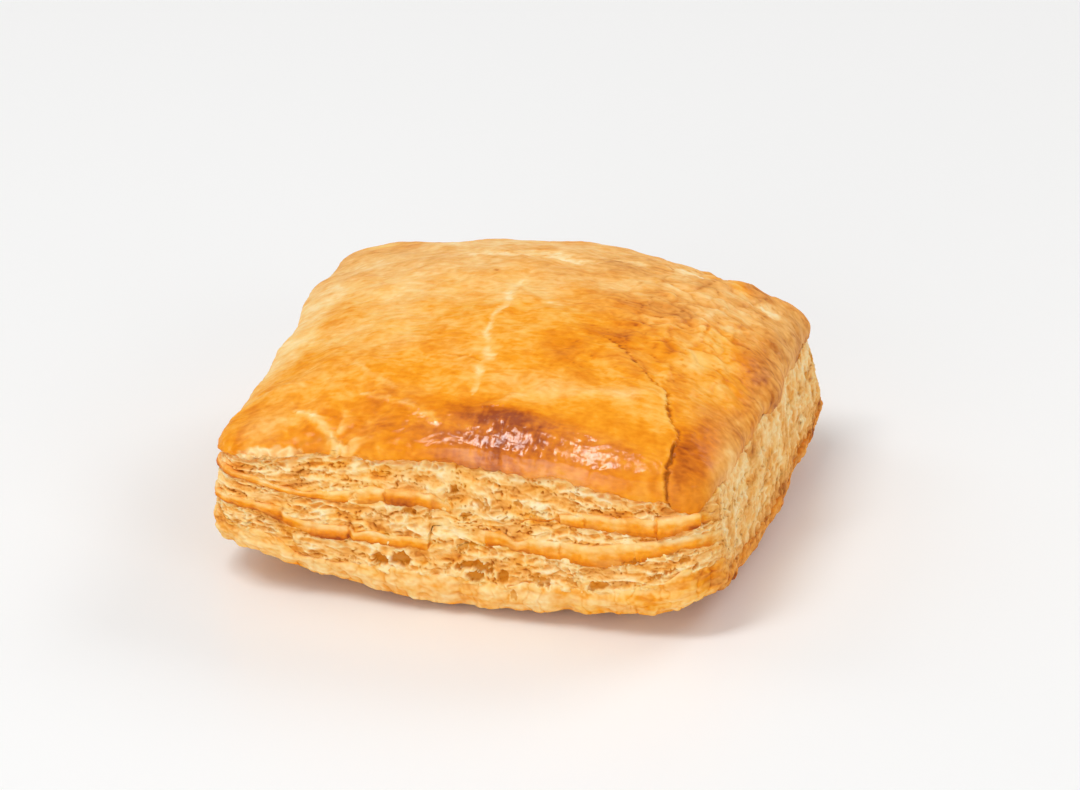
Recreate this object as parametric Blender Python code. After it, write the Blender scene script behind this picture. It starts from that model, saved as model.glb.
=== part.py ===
"""Puff pastry square: one baked piece with open layered sides and a domed, glazed top crust.

The pastry stands on its flat underside, centred on the origin, with +Z up.
The front side faces -Y and the right side faces +X.
"""

import math

import bmesh
import bpy
import numpy as np

# Driving dimensions, in metres
WIDTH = 0.0900
DEPTH = 0.0836
CORNER_RADIUS = 0.0080
CROWN_HEIGHT = 0.0409

# Grid of the solid: steps along X and Y, and rows in each baked layer
STEPS_X = 42
STEPS_Y = 38
ROWS_IN_LAYER = (0.0, 0.30, 0.70)

# Where the middle of the uneven outline lies, so that the finished piece stands centred
OUTLINE_MIDDLE_X = -0.000165
OUTLINE_MIDDLE_Y = 0.000015

# Height of the crust's lip and of the underside's rim, and how far each stands out of the
# outline: at the four corners from the front left one on, and at the middle of the front,
# right, back and left sides
LIP_AT_CORNERS = (0.0249, 0.0280, 0.0245, 0.0282)
LIP_AT_SIDES = (0.0308, 0.0281, 0.0329, 0.0290)
RIM_AT_CORNERS = (0.0058, 0.0040, 0.0064, 0.0040)
RIM_AT_SIDES = (0.0013, 0.0027, 0.0030, 0.0030)
LIP_OUT_AT_CORNERS = (-0.0008, -0.0020, -0.0022, 0.0019)
LIP_OUT_AT_SIDES = (-0.0006, -0.0003, 0.0009, -0.0012)
RIM_OUT_AT_CORNERS = (0.0014, -0.0006, 0.0011, 0.0000)
RIM_OUT_AT_SIDES = (0.0013, 0.0009, 0.0000, -0.0012)

# Short stretches where the rim is lifted further, and where the lip stands further out or,
# below zero, further in: middle place, half width and length
RIM_LIFTS = ((0.012, 0.036, 0.0017), (0.260, 0.036, 0.0028))
LIP_OUTS = ((0.835, 0.048, 0.0020), (0.915, 0.035, -0.0008))

# How far the side's middle swells out and its foot is tucked in, how full the swelling is, the
# share of the height where the foot ends, and slow waves: size, whole cycles in a turn, shift
BELLY = 0.0008
BELLY_FULLNESS = 0.8
TUCK = 0.0014
TUCK_UNTIL = 0.14
SIDE_WAVES = ((0.0002, 11, 0.9), (0.0002, 17, 0.4))

# The flat share of the underside at an edge that isn't lifted, how much earlier, for each
# metre of lift, the underside starts to curl up, and where the curl would end
FLAT_SHARE = 0.86
CURL_SPREAD = 28.0
CURL_END = 1.04

# The domed top: its highest point, how it bends down from there, how full its shoulders are,
# and how much closer the grid's steps lie near its edge
CROWN_X = 0.0064
CROWN_Y = 0.0024
BEND_ALONG_X = 2.32
BEND_ALONG_Y = 2.02
SHOULDER_REACH = 3.06
SHOULDER_FULLNESS = 0.54
EDGE_CROWDING = 1.35

# Baked layers from the underside up: share of the side's height, and how far it swells
# or, below zero, stays back
LAYERS = (
    ("bottom crust", 0.16, 0.0007),
    ("open crumb", 0.17, -0.0006),
    ("amber fold", 0.09, 0.0005),
    ("open crumb", 0.17, -0.0005),
    ("amber fold", 0.09, 0.0005),
    ("open crumb", 0.24, -0.0003),
    ("crust lip", 0.08, 0.0006),
)
GROOVE_DEPTH = 0.0004
LAYER_ROUNDNESS = 0.55

# Slow, middling and quick waves of the layers' edges, as shares of the height, and of how far
# the layers stand out, as shares of that
LEVEL_WAVES = (0.016, 0.011, 0.006)
SWELL_WAVES = (0.40, 0.35, 0.25)

# Hollows in the lowest open crumb of the front side: place round the outline, and half width
HOLLOWS = ((0.093, 0.010), (0.134, 0.011))
HOLLOW_DEPTH = 0.0016

# Swellings of the top crust: middle X and Y, half sizes along X and Y, and height
SWELLINGS = (
    ("glossy blister", 0.0090, -0.0365, 0.0130, 0.0045, 0.0008),
    ("left lobe", -0.0170, -0.0290, 0.0170, 0.0110, 0.0005),
    ("right lobe", 0.0250, -0.0290, 0.0110, 0.0100, 0.0007),
    ("back ruffle", 0.0310, 0.0290, 0.0050, 0.0045, 0.0011),
    ("back left ruffle", -0.0250, 0.0330, 0.0080, 0.0050, 0.0006),
    ("dip behind the blister", 0.0080, -0.0290, 0.0140, 0.0030, -0.0005),
    ("dip at the front left", -0.0290, -0.0330, 0.0070, 0.0045, -0.0006),
)
SWELLING_SPREAD = 1.25

# Ripples of the top crust: size, and for each wave its turn for a metre along X and Y, and shift
RIPPLE = 0.00022
RIPPLES = ((190, 60, 0.4), (-85, 130, 2.0))
FINE_RIPPLE = 0.00012
FINE_RIPPLES = ((420, -260, 1.0), (330, 450, 0.0))

# The pale seam down the middle of the top: points on it, half width and depth
SEAM = ((-0.0020, 0.0150), (-0.0030, 0.0000), (-0.0010, -0.0160), (0.0012, -0.0310))
SEAM_HALF_WIDTH = 0.0030
SEAM_DEPTH = 0.0005

# The crack at the front right, where the crust left of it rides over the rest
CRACK = ((0.0180, -0.0150), (0.0263, -0.0185), (0.0315, -0.0235), (0.0350, -0.0305), (0.0368, -0.0390))
CRACK_STEP = 0.0012
CRACK_HALF_WIDTH = 0.0015
CRACK_REACH = 0.0070

# How near a box coordinate must be to a side's for its point to lie on that side
SNAP = 1e-6


def cycles(place, parts):
    """A smooth wave round the outline: parts are (size, whole cycles in one turn, shift)."""
    return sum(size * np.cos(2 * math.pi * (count * place + shift)) for size, count, shift in parts)


def eased(value, low, high):
    """Rises smoothly from 0 at low to 1 at high."""
    share = np.clip((value - low) / (high - low), 0.0, 1.0)
    return share * share * (3 - 2 * share)


def bump(offset):
    """A smooth bump of height 1 at offset 0 that has died away at offset 1 and -1."""
    return 1 - eased(np.abs(offset), 0.0, 1.0)


def round_trip(place, at_corners, at_sides):
    """A value that runs smoothly through its corner and mid-side values round the outline."""
    stops = [value for pair in zip(at_corners, at_sides) for value in pair]
    position = (place % 1.0) * len(stops)
    low = np.floor(position).astype(int) % len(stops)
    share = position - np.floor(position)
    share = share * share * (3 - 2 * share)
    values = np.array(stops)
    return values[low] * (1 - share) + values[(low + 1) % len(stops)] * share


def stretches(place, parts):
    """Smooth bumps round the outline: parts are (middle place, half width, length)."""
    return sum(length * bump(((place - middle + 0.5) % 1.0 - 0.5) / half) for middle, half, length in parts)


def rim_height(place):
    return round_trip(place, RIM_AT_CORNERS, RIM_AT_SIDES) + stretches(place, RIM_LIFTS)


def outline(place):
    """Points and outward directions of the rounded square at places 0 to 1 round it."""
    side = np.floor(place * 4).astype(int) % 4
    along = (place * 4 - np.floor(place * 4)) * 2 - 1
    across_x = side % 2 == 0
    half_run = np.where(across_x, WIDTH / 2, DEPTH / 2)
    half_reach = np.where(across_x, DEPTH / 2, WIDTH / 2)
    straight = half_run - CORNER_RADIUS
    travel = np.abs(along) * (straight + CORNER_RADIUS * math.pi / 4)
    turn = np.clip((travel - straight) / CORNER_RADIUS, 0.0, math.pi / 4)
    run = np.sign(along) * (np.minimum(travel, straight) + CORNER_RADIUS * np.sin(turn))
    reach = half_reach - CORNER_RADIUS * (1 - np.cos(turn))
    run_lean = np.sign(along) * np.sin(turn)
    reach_lean = np.cos(turn)
    # The front side runs along +X and faces -Y, and each next side is a quarter turn on
    cos_side = np.array([1, 0, -1, 0])[side]
    sin_side = np.array([0, 1, 0, -1])[side]
    x = run * cos_side + reach * sin_side
    y = run * sin_side - reach * cos_side
    lean_x = run_lean * cos_side + reach_lean * sin_side
    lean_y = run_lean * sin_side - reach_lean * cos_side
    return x, y, lean_x, lean_y


def layer_heights(place):
    """Share of the side's height at which each layer begins, with a last row for the top."""
    shares = np.cumsum([0.0] + [share for _, share, _ in LAYERS])
    rows = []
    for number, share in enumerate(shares):
        held = 1.0 if 0 < number < len(LAYERS) else 0.0
        slow, middling, quick = LEVEL_WAVES
        parts = (
            (slow, 2 + number % 3, 0.13 * number),
            (middling, 5 + number % 2, 0.37 * number),
            (quick, 13 + number, 0.71 * number),
        )
        rows.append(share + held * cycles(place, parts))
    return np.array(rows)


def swell(place, height_share):
    """How far the whole side stands out of the outline at a share of its height."""
    at_rim = round_trip(place, RIM_OUT_AT_CORNERS, RIM_OUT_AT_SIDES)
    at_lip = round_trip(place, LIP_OUT_AT_CORNERS, LIP_OUT_AT_SIDES) + stretches(place, LIP_OUTS)
    belly = BELLY * np.sin(math.pi * np.clip(height_share, 0, 1)) ** BELLY_FULLNESS
    tuck = TUCK * (1 - eased(height_share, 0.0, TUCK_UNTIL))
    uneven = cycles(place, SIDE_WAVES)
    return at_rim * (1 - height_share) + at_lip * height_share + belly - tuck + uneven


def layer_relief(place, layer, share):
    """How far one layer stands out at a share of its own height."""
    slow, middling, quick = SWELL_WAVES
    parts = ((slow, 4 + layer, 0.17 * layer), (middling, 9 + layer, 0.43 * layer), (quick, 17 + layer, 0.30))
    # The crust lip runs on into the top, so only its lower edge is rounded
    low = np.minimum(share, 0.5) if layer == len(LAYERS) - 1 else share
    rounded = (4 * low * (1 - low)) ** LAYER_ROUNDNESS
    relief = LAYERS[layer][2] * (1 + cycles(place, parts)) * rounded
    if layer == 1:
        hollow = sum(bump((place - middle) / half) for middle, half in HOLLOWS)
        relief = relief - HOLLOW_DEPTH * hollow * rounded
    return relief - GROOVE_DEPTH * (1 - rounded)


def side_point(place, layer, share):
    """Position on the layered side: place round the outline, layer number and share of it."""
    levels = layer_heights(place)
    height_share = levels[layer] * (1 - share) + levels[layer + 1] * share
    rim = rim_height(place)
    lip = round_trip(place, LIP_AT_CORNERS, LIP_AT_SIDES)
    out = swell(place, height_share) + layer_relief(place, layer, share)
    x, y, lean_x, lean_y = outline(place)
    z = rim + (lip - rim) * height_share
    return x + out * lean_x, y + out * lean_y, z


def beside_line(x, y, line):
    """Distance from a line through points, and on which side: above 0 on its right."""
    nearest = np.full(np.shape(x), np.inf)
    side = np.zeros(np.shape(x))
    for (x0, y0), (x1, y1) in zip(line, line[1:]):
        run_x, run_y = x1 - x0, y1 - y0
        share = ((x - x0) * run_x + (y - y0) * run_y) / (run_x**2 + run_y**2)
        share = np.clip(share, 0.0, 1.0)
        off_x, off_y = x - x0 - share * run_x, y - y0 - share * run_y
        distance = np.hypot(off_x, off_y)
        closer = distance < nearest
        nearest = np.where(closer, distance, nearest)
        side = np.where(closer, np.sign(off_y * run_x - off_x * run_y), side)
    return nearest, side


def top_marks(x, y):
    """Swellings, dips, seam and crack of the top crust, as a change of height."""
    change = 0.0
    for _, middle_x, middle_y, half_x, half_y, height in SWELLINGS:
        offset = np.hypot((x - middle_x) / half_x, (y - middle_y) / half_y)
        change = change + height * bump(offset / SWELLING_SPREAD)
    distance, _ = beside_line(x, y, SEAM)
    change = change - SEAM_DEPTH * bump(distance / SEAM_HALF_WIDTH)
    distance, side = beside_line(x, y, CRACK)
    step = side * np.minimum(distance / CRACK_HALF_WIDTH, 1.0)
    change = change - CRACK_STEP / 2 * step * bump(distance / CRACK_REACH)
    ripple = sum(np.cos(along_x * x + along_y * y + shift) for along_x, along_y, shift in RIPPLES)
    fine = sum(np.cos(along_x * x + along_y * y + shift) for along_x, along_y, shift in FINE_RIPPLES)
    return change + RIPPLE * ripple + FINE_RIPPLE * fine


def crown(x, y):
    """Height of the domed top, away from its edges."""
    dome = CROWN_HEIGHT - BEND_ALONG_X * (x - CROWN_X) ** 2 - BEND_ALONG_Y * (y - CROWN_Y) ** 2
    return dome + top_marks(x, y)


def top_point(place, ring):
    """Position on the top crust: ring is 1 at the lip and 0 at the middle."""
    x, y, z = side_point(place, len(LAYERS) - 1, np.ones_like(place))
    x, y = x * ring, y * ring
    raised = (1 - ring**SHOULDER_REACH) ** SHOULDER_FULLNESS
    return x, y, z + (crown(x, y) - z) * raised


def underside_point(place, ring):
    """Position on the underside: flat in the middle, and lifted to the rim at the edge."""
    x, y, z = side_point(place, 0, np.zeros_like(place))
    flat_until = FLAT_SHARE - z * CURL_SPREAD
    lift = eased(ring, flat_until, CURL_END) / eased(1.0, flat_until, CURL_END)
    return x * ring, y * ring, z * lift


def gridded_box():
    """A closed box, 2 across, with its faces cut into the solid's grid."""
    box = bmesh.new()
    bmesh.ops.create_cube(box, size=2.0)
    rows = len(LAYERS) * len(ROWS_IN_LAYER)
    for axis, steps in enumerate((STEPS_X, STEPS_Y, rows)):
        along = [edge for edge in box.edges if abs(edge.verts[0].co[axis] - edge.verts[1].co[axis]) > 1]
        bmesh.ops.subdivide_edges(box, edges=along, cuts=steps - 1, use_grid_fill=True)
    return box


def place_of(edge_a, edge_b):
    """Place round the outline of points on the edge of the box, 2 across."""
    on_front, on_right, on_back = edge_b <= SNAP - 1, edge_a >= 1 - SNAP, edge_b >= 1 - SNAP
    front, right, back = (edge_a + 1) / 8, 0.25 + (edge_b + 1) / 8, 0.5 + (1 - edge_a) / 8
    left = 0.75 + (1 - edge_b) / 8
    return np.select([on_front, on_right, on_back], [front, right, back], left)


def box_to_pastry(corner):
    """Moves points of the box onto the pastry: corner is an array of box coordinates."""
    a, b, c = corner.T
    ring = np.maximum(np.abs(a), np.abs(b))
    safe = np.where(ring > 0, ring, 1.0)
    place = place_of(a / safe, b / safe)
    crowded = 1 - (1 - ring) ** EDGE_CROWDING
    points = np.zeros_like(corner)
    is_top, is_under = c > 1 - SNAP, c < SNAP - 1
    points[is_top] = np.array(top_point(place[is_top], crowded[is_top])).T
    points[is_under] = np.array(underside_point(place[is_under], crowded[is_under])).T
    rows = len(LAYERS) * len(ROWS_IN_LAYER)
    row = np.rint((c + 1) / 2 * rows).astype(int)
    for number in range(1, rows):
        here = (row == number) & ~is_top & ~is_under
        layer, step = divmod(number, len(ROWS_IN_LAYER))
        share = np.full(here.sum(), ROWS_IN_LAYER[step])
        points[here] = np.array(side_point(place[here], layer, share)).T
    return points - np.array([OUTLINE_MIDDLE_X, OUTLINE_MIDDLE_Y, 0.0])


def join_flat_underside(mesh):
    """Makes the flat middle of the underside one face."""
    flat = [face for face in mesh.faces if all(abs(vert.co.z) < SNAP * WIDTH for vert in face.verts)]
    bmesh.ops.dissolve_faces(mesh, faces=flat, use_verts=True)


def baked_dough():
    """The pastry's crust, golden brown and slightly glossy."""
    material = bpy.data.materials.new("baked_dough")
    material.use_nodes = True
    shader = material.node_tree.nodes["Principled BSDF"]
    shader.inputs["Base Color"].default_value = (0.80, 0.43, 0.12, 1.0)
    shader.inputs["Roughness"].default_value = 0.45
    shader.inputs["Metallic"].default_value = 0.0
    return material


def make_pastry():
    box = gridded_box()
    corner = np.array([vert.co for vert in box.verts])
    for vert, point in zip(box.verts, box_to_pastry(corner)):
        vert.co = point
    join_flat_underside(box)
    bmesh.ops.recalc_face_normals(box, faces=box.faces)
    mesh = bpy.data.meshes.new("puff_pastry")
    box.to_mesh(mesh)
    box.free()
    mesh.shade_smooth()
    mesh.materials.append(baked_dough())
    pastry = bpy.data.objects.new("puff_pastry", mesh)
    bpy.context.scene.collection.objects.link(pastry)
    return pastry


def main():
    for old in list(bpy.data.objects):
        bpy.data.objects.remove(old)
    make_pastry()


main()
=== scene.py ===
"""Looks of the puff pastry square: a glazed, cracked top crust over stacked leaves of baked dough.

The pastry's form is worked out by the same rules as the solid's, and the fine relief of each
baked leaf is added to it. Lengths are in metres unless a name says otherwise.
"""

import itertools
import math

import bmesh
import bpy
import numpy as np
from mathutils import Matrix, Vector


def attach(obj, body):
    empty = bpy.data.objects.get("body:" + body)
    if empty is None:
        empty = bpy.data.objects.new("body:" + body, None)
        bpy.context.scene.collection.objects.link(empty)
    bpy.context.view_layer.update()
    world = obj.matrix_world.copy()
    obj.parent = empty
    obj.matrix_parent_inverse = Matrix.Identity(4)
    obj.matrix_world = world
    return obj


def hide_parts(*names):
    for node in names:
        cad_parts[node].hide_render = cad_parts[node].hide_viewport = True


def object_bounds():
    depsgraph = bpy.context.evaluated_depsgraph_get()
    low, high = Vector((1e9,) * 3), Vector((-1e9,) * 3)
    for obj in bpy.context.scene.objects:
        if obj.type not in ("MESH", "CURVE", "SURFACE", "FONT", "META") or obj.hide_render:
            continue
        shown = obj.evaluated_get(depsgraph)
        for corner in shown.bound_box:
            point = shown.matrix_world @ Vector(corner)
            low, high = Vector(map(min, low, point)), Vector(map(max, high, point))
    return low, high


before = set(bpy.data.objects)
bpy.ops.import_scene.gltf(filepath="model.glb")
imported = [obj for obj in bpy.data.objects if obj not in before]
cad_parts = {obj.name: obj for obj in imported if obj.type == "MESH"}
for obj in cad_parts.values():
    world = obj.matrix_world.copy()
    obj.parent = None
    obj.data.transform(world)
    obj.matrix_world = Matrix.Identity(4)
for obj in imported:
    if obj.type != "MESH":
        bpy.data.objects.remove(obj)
CAD_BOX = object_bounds()
MM = 0.001

# Form of the solid, as in the part's source
WIDTH = 0.09
DEPTH = 0.0836
CORNER_RADIUS = 0.008
CROWN_HEIGHT = 0.0409
OUTLINE_MIDDLE_X = -0.000165
OUTLINE_MIDDLE_Y = 0.000015
LIP_AT_CORNERS = (0.0249, 0.028, 0.0245, 0.0282)
LIP_AT_SIDES = (0.0308, 0.0281, 0.0329, 0.029)
RIM_AT_CORNERS = (0.0058, 0.004, 0.0064, 0.004)
RIM_AT_SIDES = (0.0013, 0.0027, 0.003, 0.003)
LIP_OUT_AT_CORNERS = (-0.0008, -0.002, -0.0022, 0.0019)
LIP_OUT_AT_SIDES = (-0.0006, -0.0003, 0.0009, -0.0012)
RIM_OUT_AT_CORNERS = (0.0014, -0.0006, 0.0011, 0.0)
RIM_OUT_AT_SIDES = (0.0013, 0.0009, 0.0, -0.0012)
RIM_LIFTS = ((0.012, 0.036, 0.0017), (0.26, 0.036, 0.0028))
LIP_OUTS = ((0.835, 0.048, 0.002), (0.915, 0.035, -0.0008))
BELLY = 0.0008
BELLY_FULLNESS = 0.8
TUCKED_FOOT = 0.0014
FOOT_UNTIL = 0.14
SIDE_WAVES = ((0.0002, 11, 0.9), (0.0002, 17, 0.4))
FLAT_SHARE = 0.86
CURL_SPREAD = 28.0
CURL_END = 1.04
CROWN_X = 0.0064
CROWN_Y = 0.0024
BEND_ALONG_X = 2.32
BEND_ALONG_Y = 2.02
SHOULDER_REACH = 3.06
SHOULDER_FULLNESS = 0.54
SWELLINGS = (
    ("glossy blister", 0.009, -0.0365, 0.013, 0.0045, 0.0008),
    ("left lobe", -0.017, -0.029, 0.017, 0.011, 0.0005),
    ("right lobe", 0.025, -0.029, 0.011, 0.01, 0.0007),
    ("back ruffle", 0.031, 0.029, 0.005, 0.0045, 0.0011),
    ("back left ruffle", -0.025, 0.033, 0.008, 0.005, 0.0006),
    ("dip behind the blister", 0.008, -0.029, 0.014, 0.003, -0.0005),
    ("dip at the front left", -0.029, -0.033, 0.007, 0.0045, -0.0006),
)
SWELLING_SPREAD = 1.25
RIPPLE = 0.00022
RIPPLES = ((190, 60, 0.4), (-85, 130, 2.0))
FINE_RIPPLE = 0.00012
FINE_RIPPLES = ((420, -260, 1.0), (330, 450, 0.0))

# Leaves of the side from the underside up: name, and share of the side's height where it ends
LEAF_TOPS = (
    ("bottom_crust", 0.17),
    ("lower_crumb", 0.34),
    ("lower_fold", 0.45),
    ("middle_crumb", 0.62),
    ("upper_fold", 0.71),
    ("upper_crumb", 0.93),
)

# The same ends along the front side, as the photo shows them: place round the outline, share
FRONT_ENDS = {
    "bottom_crust": (
        (-0.01, 0.3), (0.013, 0.26), (0.03, 0.25), (0.035, 0.2), (0.045, 0.13), (0.06, 0.12), (0.07, 0.16),
        (0.08, 0.17), (0.09, 0.2), (0.12, 0.2), (0.14, 0.19), (0.15, 0.17), (0.16, 0.21), (0.18, 0.21),
        (0.19, 0.19), (0.2, 0.2), (0.21, 0.22), (0.22, 0.25), (0.23, 0.28), (0.24, 0.34), (0.26, 0.33),
    ),
    "lower_crumb": (
        (-0.01, 0.47), (0.02, 0.49), (0.032, 0.44), (0.04, 0.4), (0.045, 0.37), (0.055, 0.35),
        (0.065, 0.35), (0.0695, 0.38), (0.072, 0.36), (0.09, 0.375), (0.111, 0.38), (0.113, 0.42),
        (0.123, 0.39), (0.131, 0.44), (0.141, 0.45), (0.155, 0.44), (0.165, 0.43), (0.18, 0.4),
        (0.19, 0.385), (0.2, 0.385), (0.209, 0.41), (0.22, 0.46), (0.23, 0.5), (0.24, 0.54), (0.26, 0.5),
    ),
    "lower_fold": (
        (-0.01, 0.52), (0.01, 0.55), (0.034, 0.55), (0.036, 0.5), (0.04, 0.47), (0.045, 0.45),
        (0.055, 0.44), (0.07, 0.44), (0.072, 0.4), (0.08, 0.44), (0.1, 0.44), (0.111, 0.43), (0.113, 0.53),
        (0.12, 0.55), (0.13, 0.53), (0.148, 0.53), (0.155, 0.49), (0.165, 0.515), (0.178, 0.52),
        (0.188, 0.51), (0.2, 0.53), (0.21, 0.56), (0.22, 0.58), (0.23, 0.61), (0.24, 0.64), (0.26, 0.6),
    ),
    "middle_crumb": (
        (-0.01, 0.78), (0.01, 0.76), (0.02, 0.74), (0.03, 0.7), (0.04, 0.67), (0.05, 0.65), (0.06, 0.63),
        (0.07, 0.63), (0.08, 0.635), (0.09, 0.66), (0.11, 0.655), (0.12, 0.63), (0.125, 0.6),
        (0.135, 0.595), (0.16, 0.61), (0.18, 0.64), (0.19, 0.65), (0.22, 0.64), (0.226, 0.63),
        (0.23, 0.65), (0.24, 0.69), (0.248, 0.71), (0.26, 0.68),
    ),
    "upper_fold": (
        (-0.01, 0.82), (0.01, 0.81), (0.02, 0.79), (0.03, 0.74), (0.04, 0.705), (0.05, 0.695),
        (0.06, 0.69), (0.07, 0.71), (0.08, 0.74), (0.105, 0.735), (0.12, 0.69), (0.125, 0.635),
        (0.15, 0.64), (0.16, 0.66), (0.17, 0.68), (0.178, 0.7), (0.19, 0.72), (0.205, 0.74), (0.22, 0.76),
        (0.226, 0.765), (0.235, 0.8), (0.248, 0.8), (0.26, 0.76),
    ),
    "upper_crumb": (
        (-0.01, 0.92), (0.005, 0.97), (0.01, 0.99), (0.055, 0.99), (0.0625, 0.97), (0.07, 0.96),
        (0.08, 0.945), (0.12, 0.945), (0.13, 0.92), (0.16, 0.92), (0.18, 0.94), (0.19, 0.915),
        (0.2, 0.915), (0.22, 0.905), (0.229, 0.9), (0.231, 0.85), (0.235, 0.83), (0.245, 0.8),
        (0.255, 0.86), (0.27, 0.92),
    ),
}
FRONT_START = -0.012
FRONT_END = 0.262
FRONT_FADE = 0.02
# Places where the upright strands of the right side begin and end, each over a short stretch
STRANDS_BEGIN = (0.245, 0.275)
STRANDS_END = (0.49, 0.52)

# How far the folds stand out along the front side, in millimetres, and their change of bake,
# from each place on to the next
FOLD_STEPS = {
    "lower_fold": (
        (-0.02, 0.9, 0.0), (0.023, 1.1, 0.1), (0.034, 0.8, -0.02), (0.052, 1.0, 0.07),
        (0.0698, 0.7, -0.02), (0.1112, 0.4, -0.16), (0.14, 0.7, 0.04), (0.163, 0.8, -0.04),
        (0.178, 0.6, -0.02), (0.188, 0.9, 0.03), (0.215, 0.7, -0.03), (0.27, 0.8, 0.0),
    ),
    "upper_fold": (
        (-0.02, 1.0, 0.06), (0.014, 0.9, -0.02), (0.04, 0.8, 0.05), (0.056, 0.6, -0.06),
        (0.072, 0.8, -0.04), (0.0888, 1.1, 0.08), (0.1055, 0.8, -0.02), (0.113, 0.6, 0.02),
        (0.1225, 0.2, -0.1), (0.158, 0.2, 0.12), (0.1775, 0.9, 0.0), (0.205, 0.7, 0.03),
        (0.2258, 1.3, -0.02), (0.249, 0.5, 0.05), (0.27, 0.8, 0.0),
    ),
}
STEP_WIDTH = 0.0012
# Where a fold of the front side opens into crumb: place, half width
OPEN_FOLDS = {
    "lower_fold": ((0.118, 0.007), (0.132, 0.006)),
    "upper_fold": ((0.13, 0.008), (0.145, 0.012), (0.072, 0.002)),
}
# Upright grooves between the blocks of a fold, darkened as painted shade where one block stands over the
# next: place, and share of the height from and to
SHADED_BLOCK_LINES = (
    (0.0345, 0.44, 0.54), (0.0698, 0.34, 0.5), (0.1112, 0.38, 0.54), (0.0888, 0.66, 0.74),
    (0.1225, 0.62, 0.7), (0.2256, 0.63, 0.77), (0.19, 0.66, 0.71), (0.178, 0.44, 0.51),
)
LINE_WIDTH = 0.0014
LINE_FADE = 0.01

# Hollows in the front side: place, share, half place, half share, slant, depth in millimetres
HOLLOWS = (
    (0.0858, 0.258, 0.0048, 0.046, 0.0, 2.2), (0.0965, 0.285, 0.006, 0.05, 1.5, 2.2),
    (0.13, 0.298, 0.0058, 0.032, 3.0, 1.8), (0.1385, 0.3, 0.006, 0.034, -2.0, 1.8),
    (0.1345, 0.235, 0.0042, 0.034, 0.0, 1.6), (0.149, 0.25, 0.0034, 0.05, 6.0, 1.5),
    (0.168, 0.252, 0.0058, 0.034, -3.5, 1.0), (0.184, 0.25, 0.0032, 0.02, -6.0, 0.8),
    (0.197, 0.235, 0.0056, 0.028, 4.0, 1.0), (0.0295, 0.315, 0.003, 0.018, 2.0, 0.8),
    (0.0175, 0.322, 0.0026, 0.01, 0.0, 0.8), (0.0385, 0.31, 0.0024, 0.018, -2.0, 0.8),
    (0.071, 0.21, 0.0016, 0.01, 0.0, 0.7), (0.12, 0.262, 0.0018, 0.018, 0.0, 0.7),
    (0.1235, 0.765, 0.0022, 0.034, 0.0, 1.2), (0.13, 0.615, 0.003, 0.024, 2.0, 1.0),
    (0.1365, 0.705, 0.004, 0.022, 0.0, 0.8), (0.141, 0.69, 0.0016, 0.034, 0.0, 0.9),
    (0.1565, 0.735, 0.0022, 0.022, 0.0, 0.9), (0.132, 0.43, 0.009, 0.01, 2.5, 0.8),
    (0.2132, 0.442, 0.0044, 0.012, 5.0, 0.9), (0.229, 0.352, 0.008, 0.014, 5.0, 1.1),
    (0.2405, 0.45, 0.003, 0.034, -4.0, 1.1), (0.247, 0.368, 0.0018, 0.026, 0.0, 1.1),
    (0.2345, 0.515, 0.004, 0.009, 3.0, 0.7), (0.166, 0.69, 0.01, 0.006, 1.8, 0.8),
    (0.1545, 0.13, 0.0018, 0.03, -10.0, 0.5), (0.042, 0.815, 0.0024, 0.016, -4.0, 0.7),
    (0.101, 0.61, 0.004, 0.018, 2.0, 0.7), (0.1105, 0.585, 0.0026, 0.02, -2.0, 0.7),
    (0.08, 0.56, 0.0026, 0.012, 0.0, 0.5), (0.173, 0.375, 0.005, 0.006, -2.5, 0.5),
)

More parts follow.
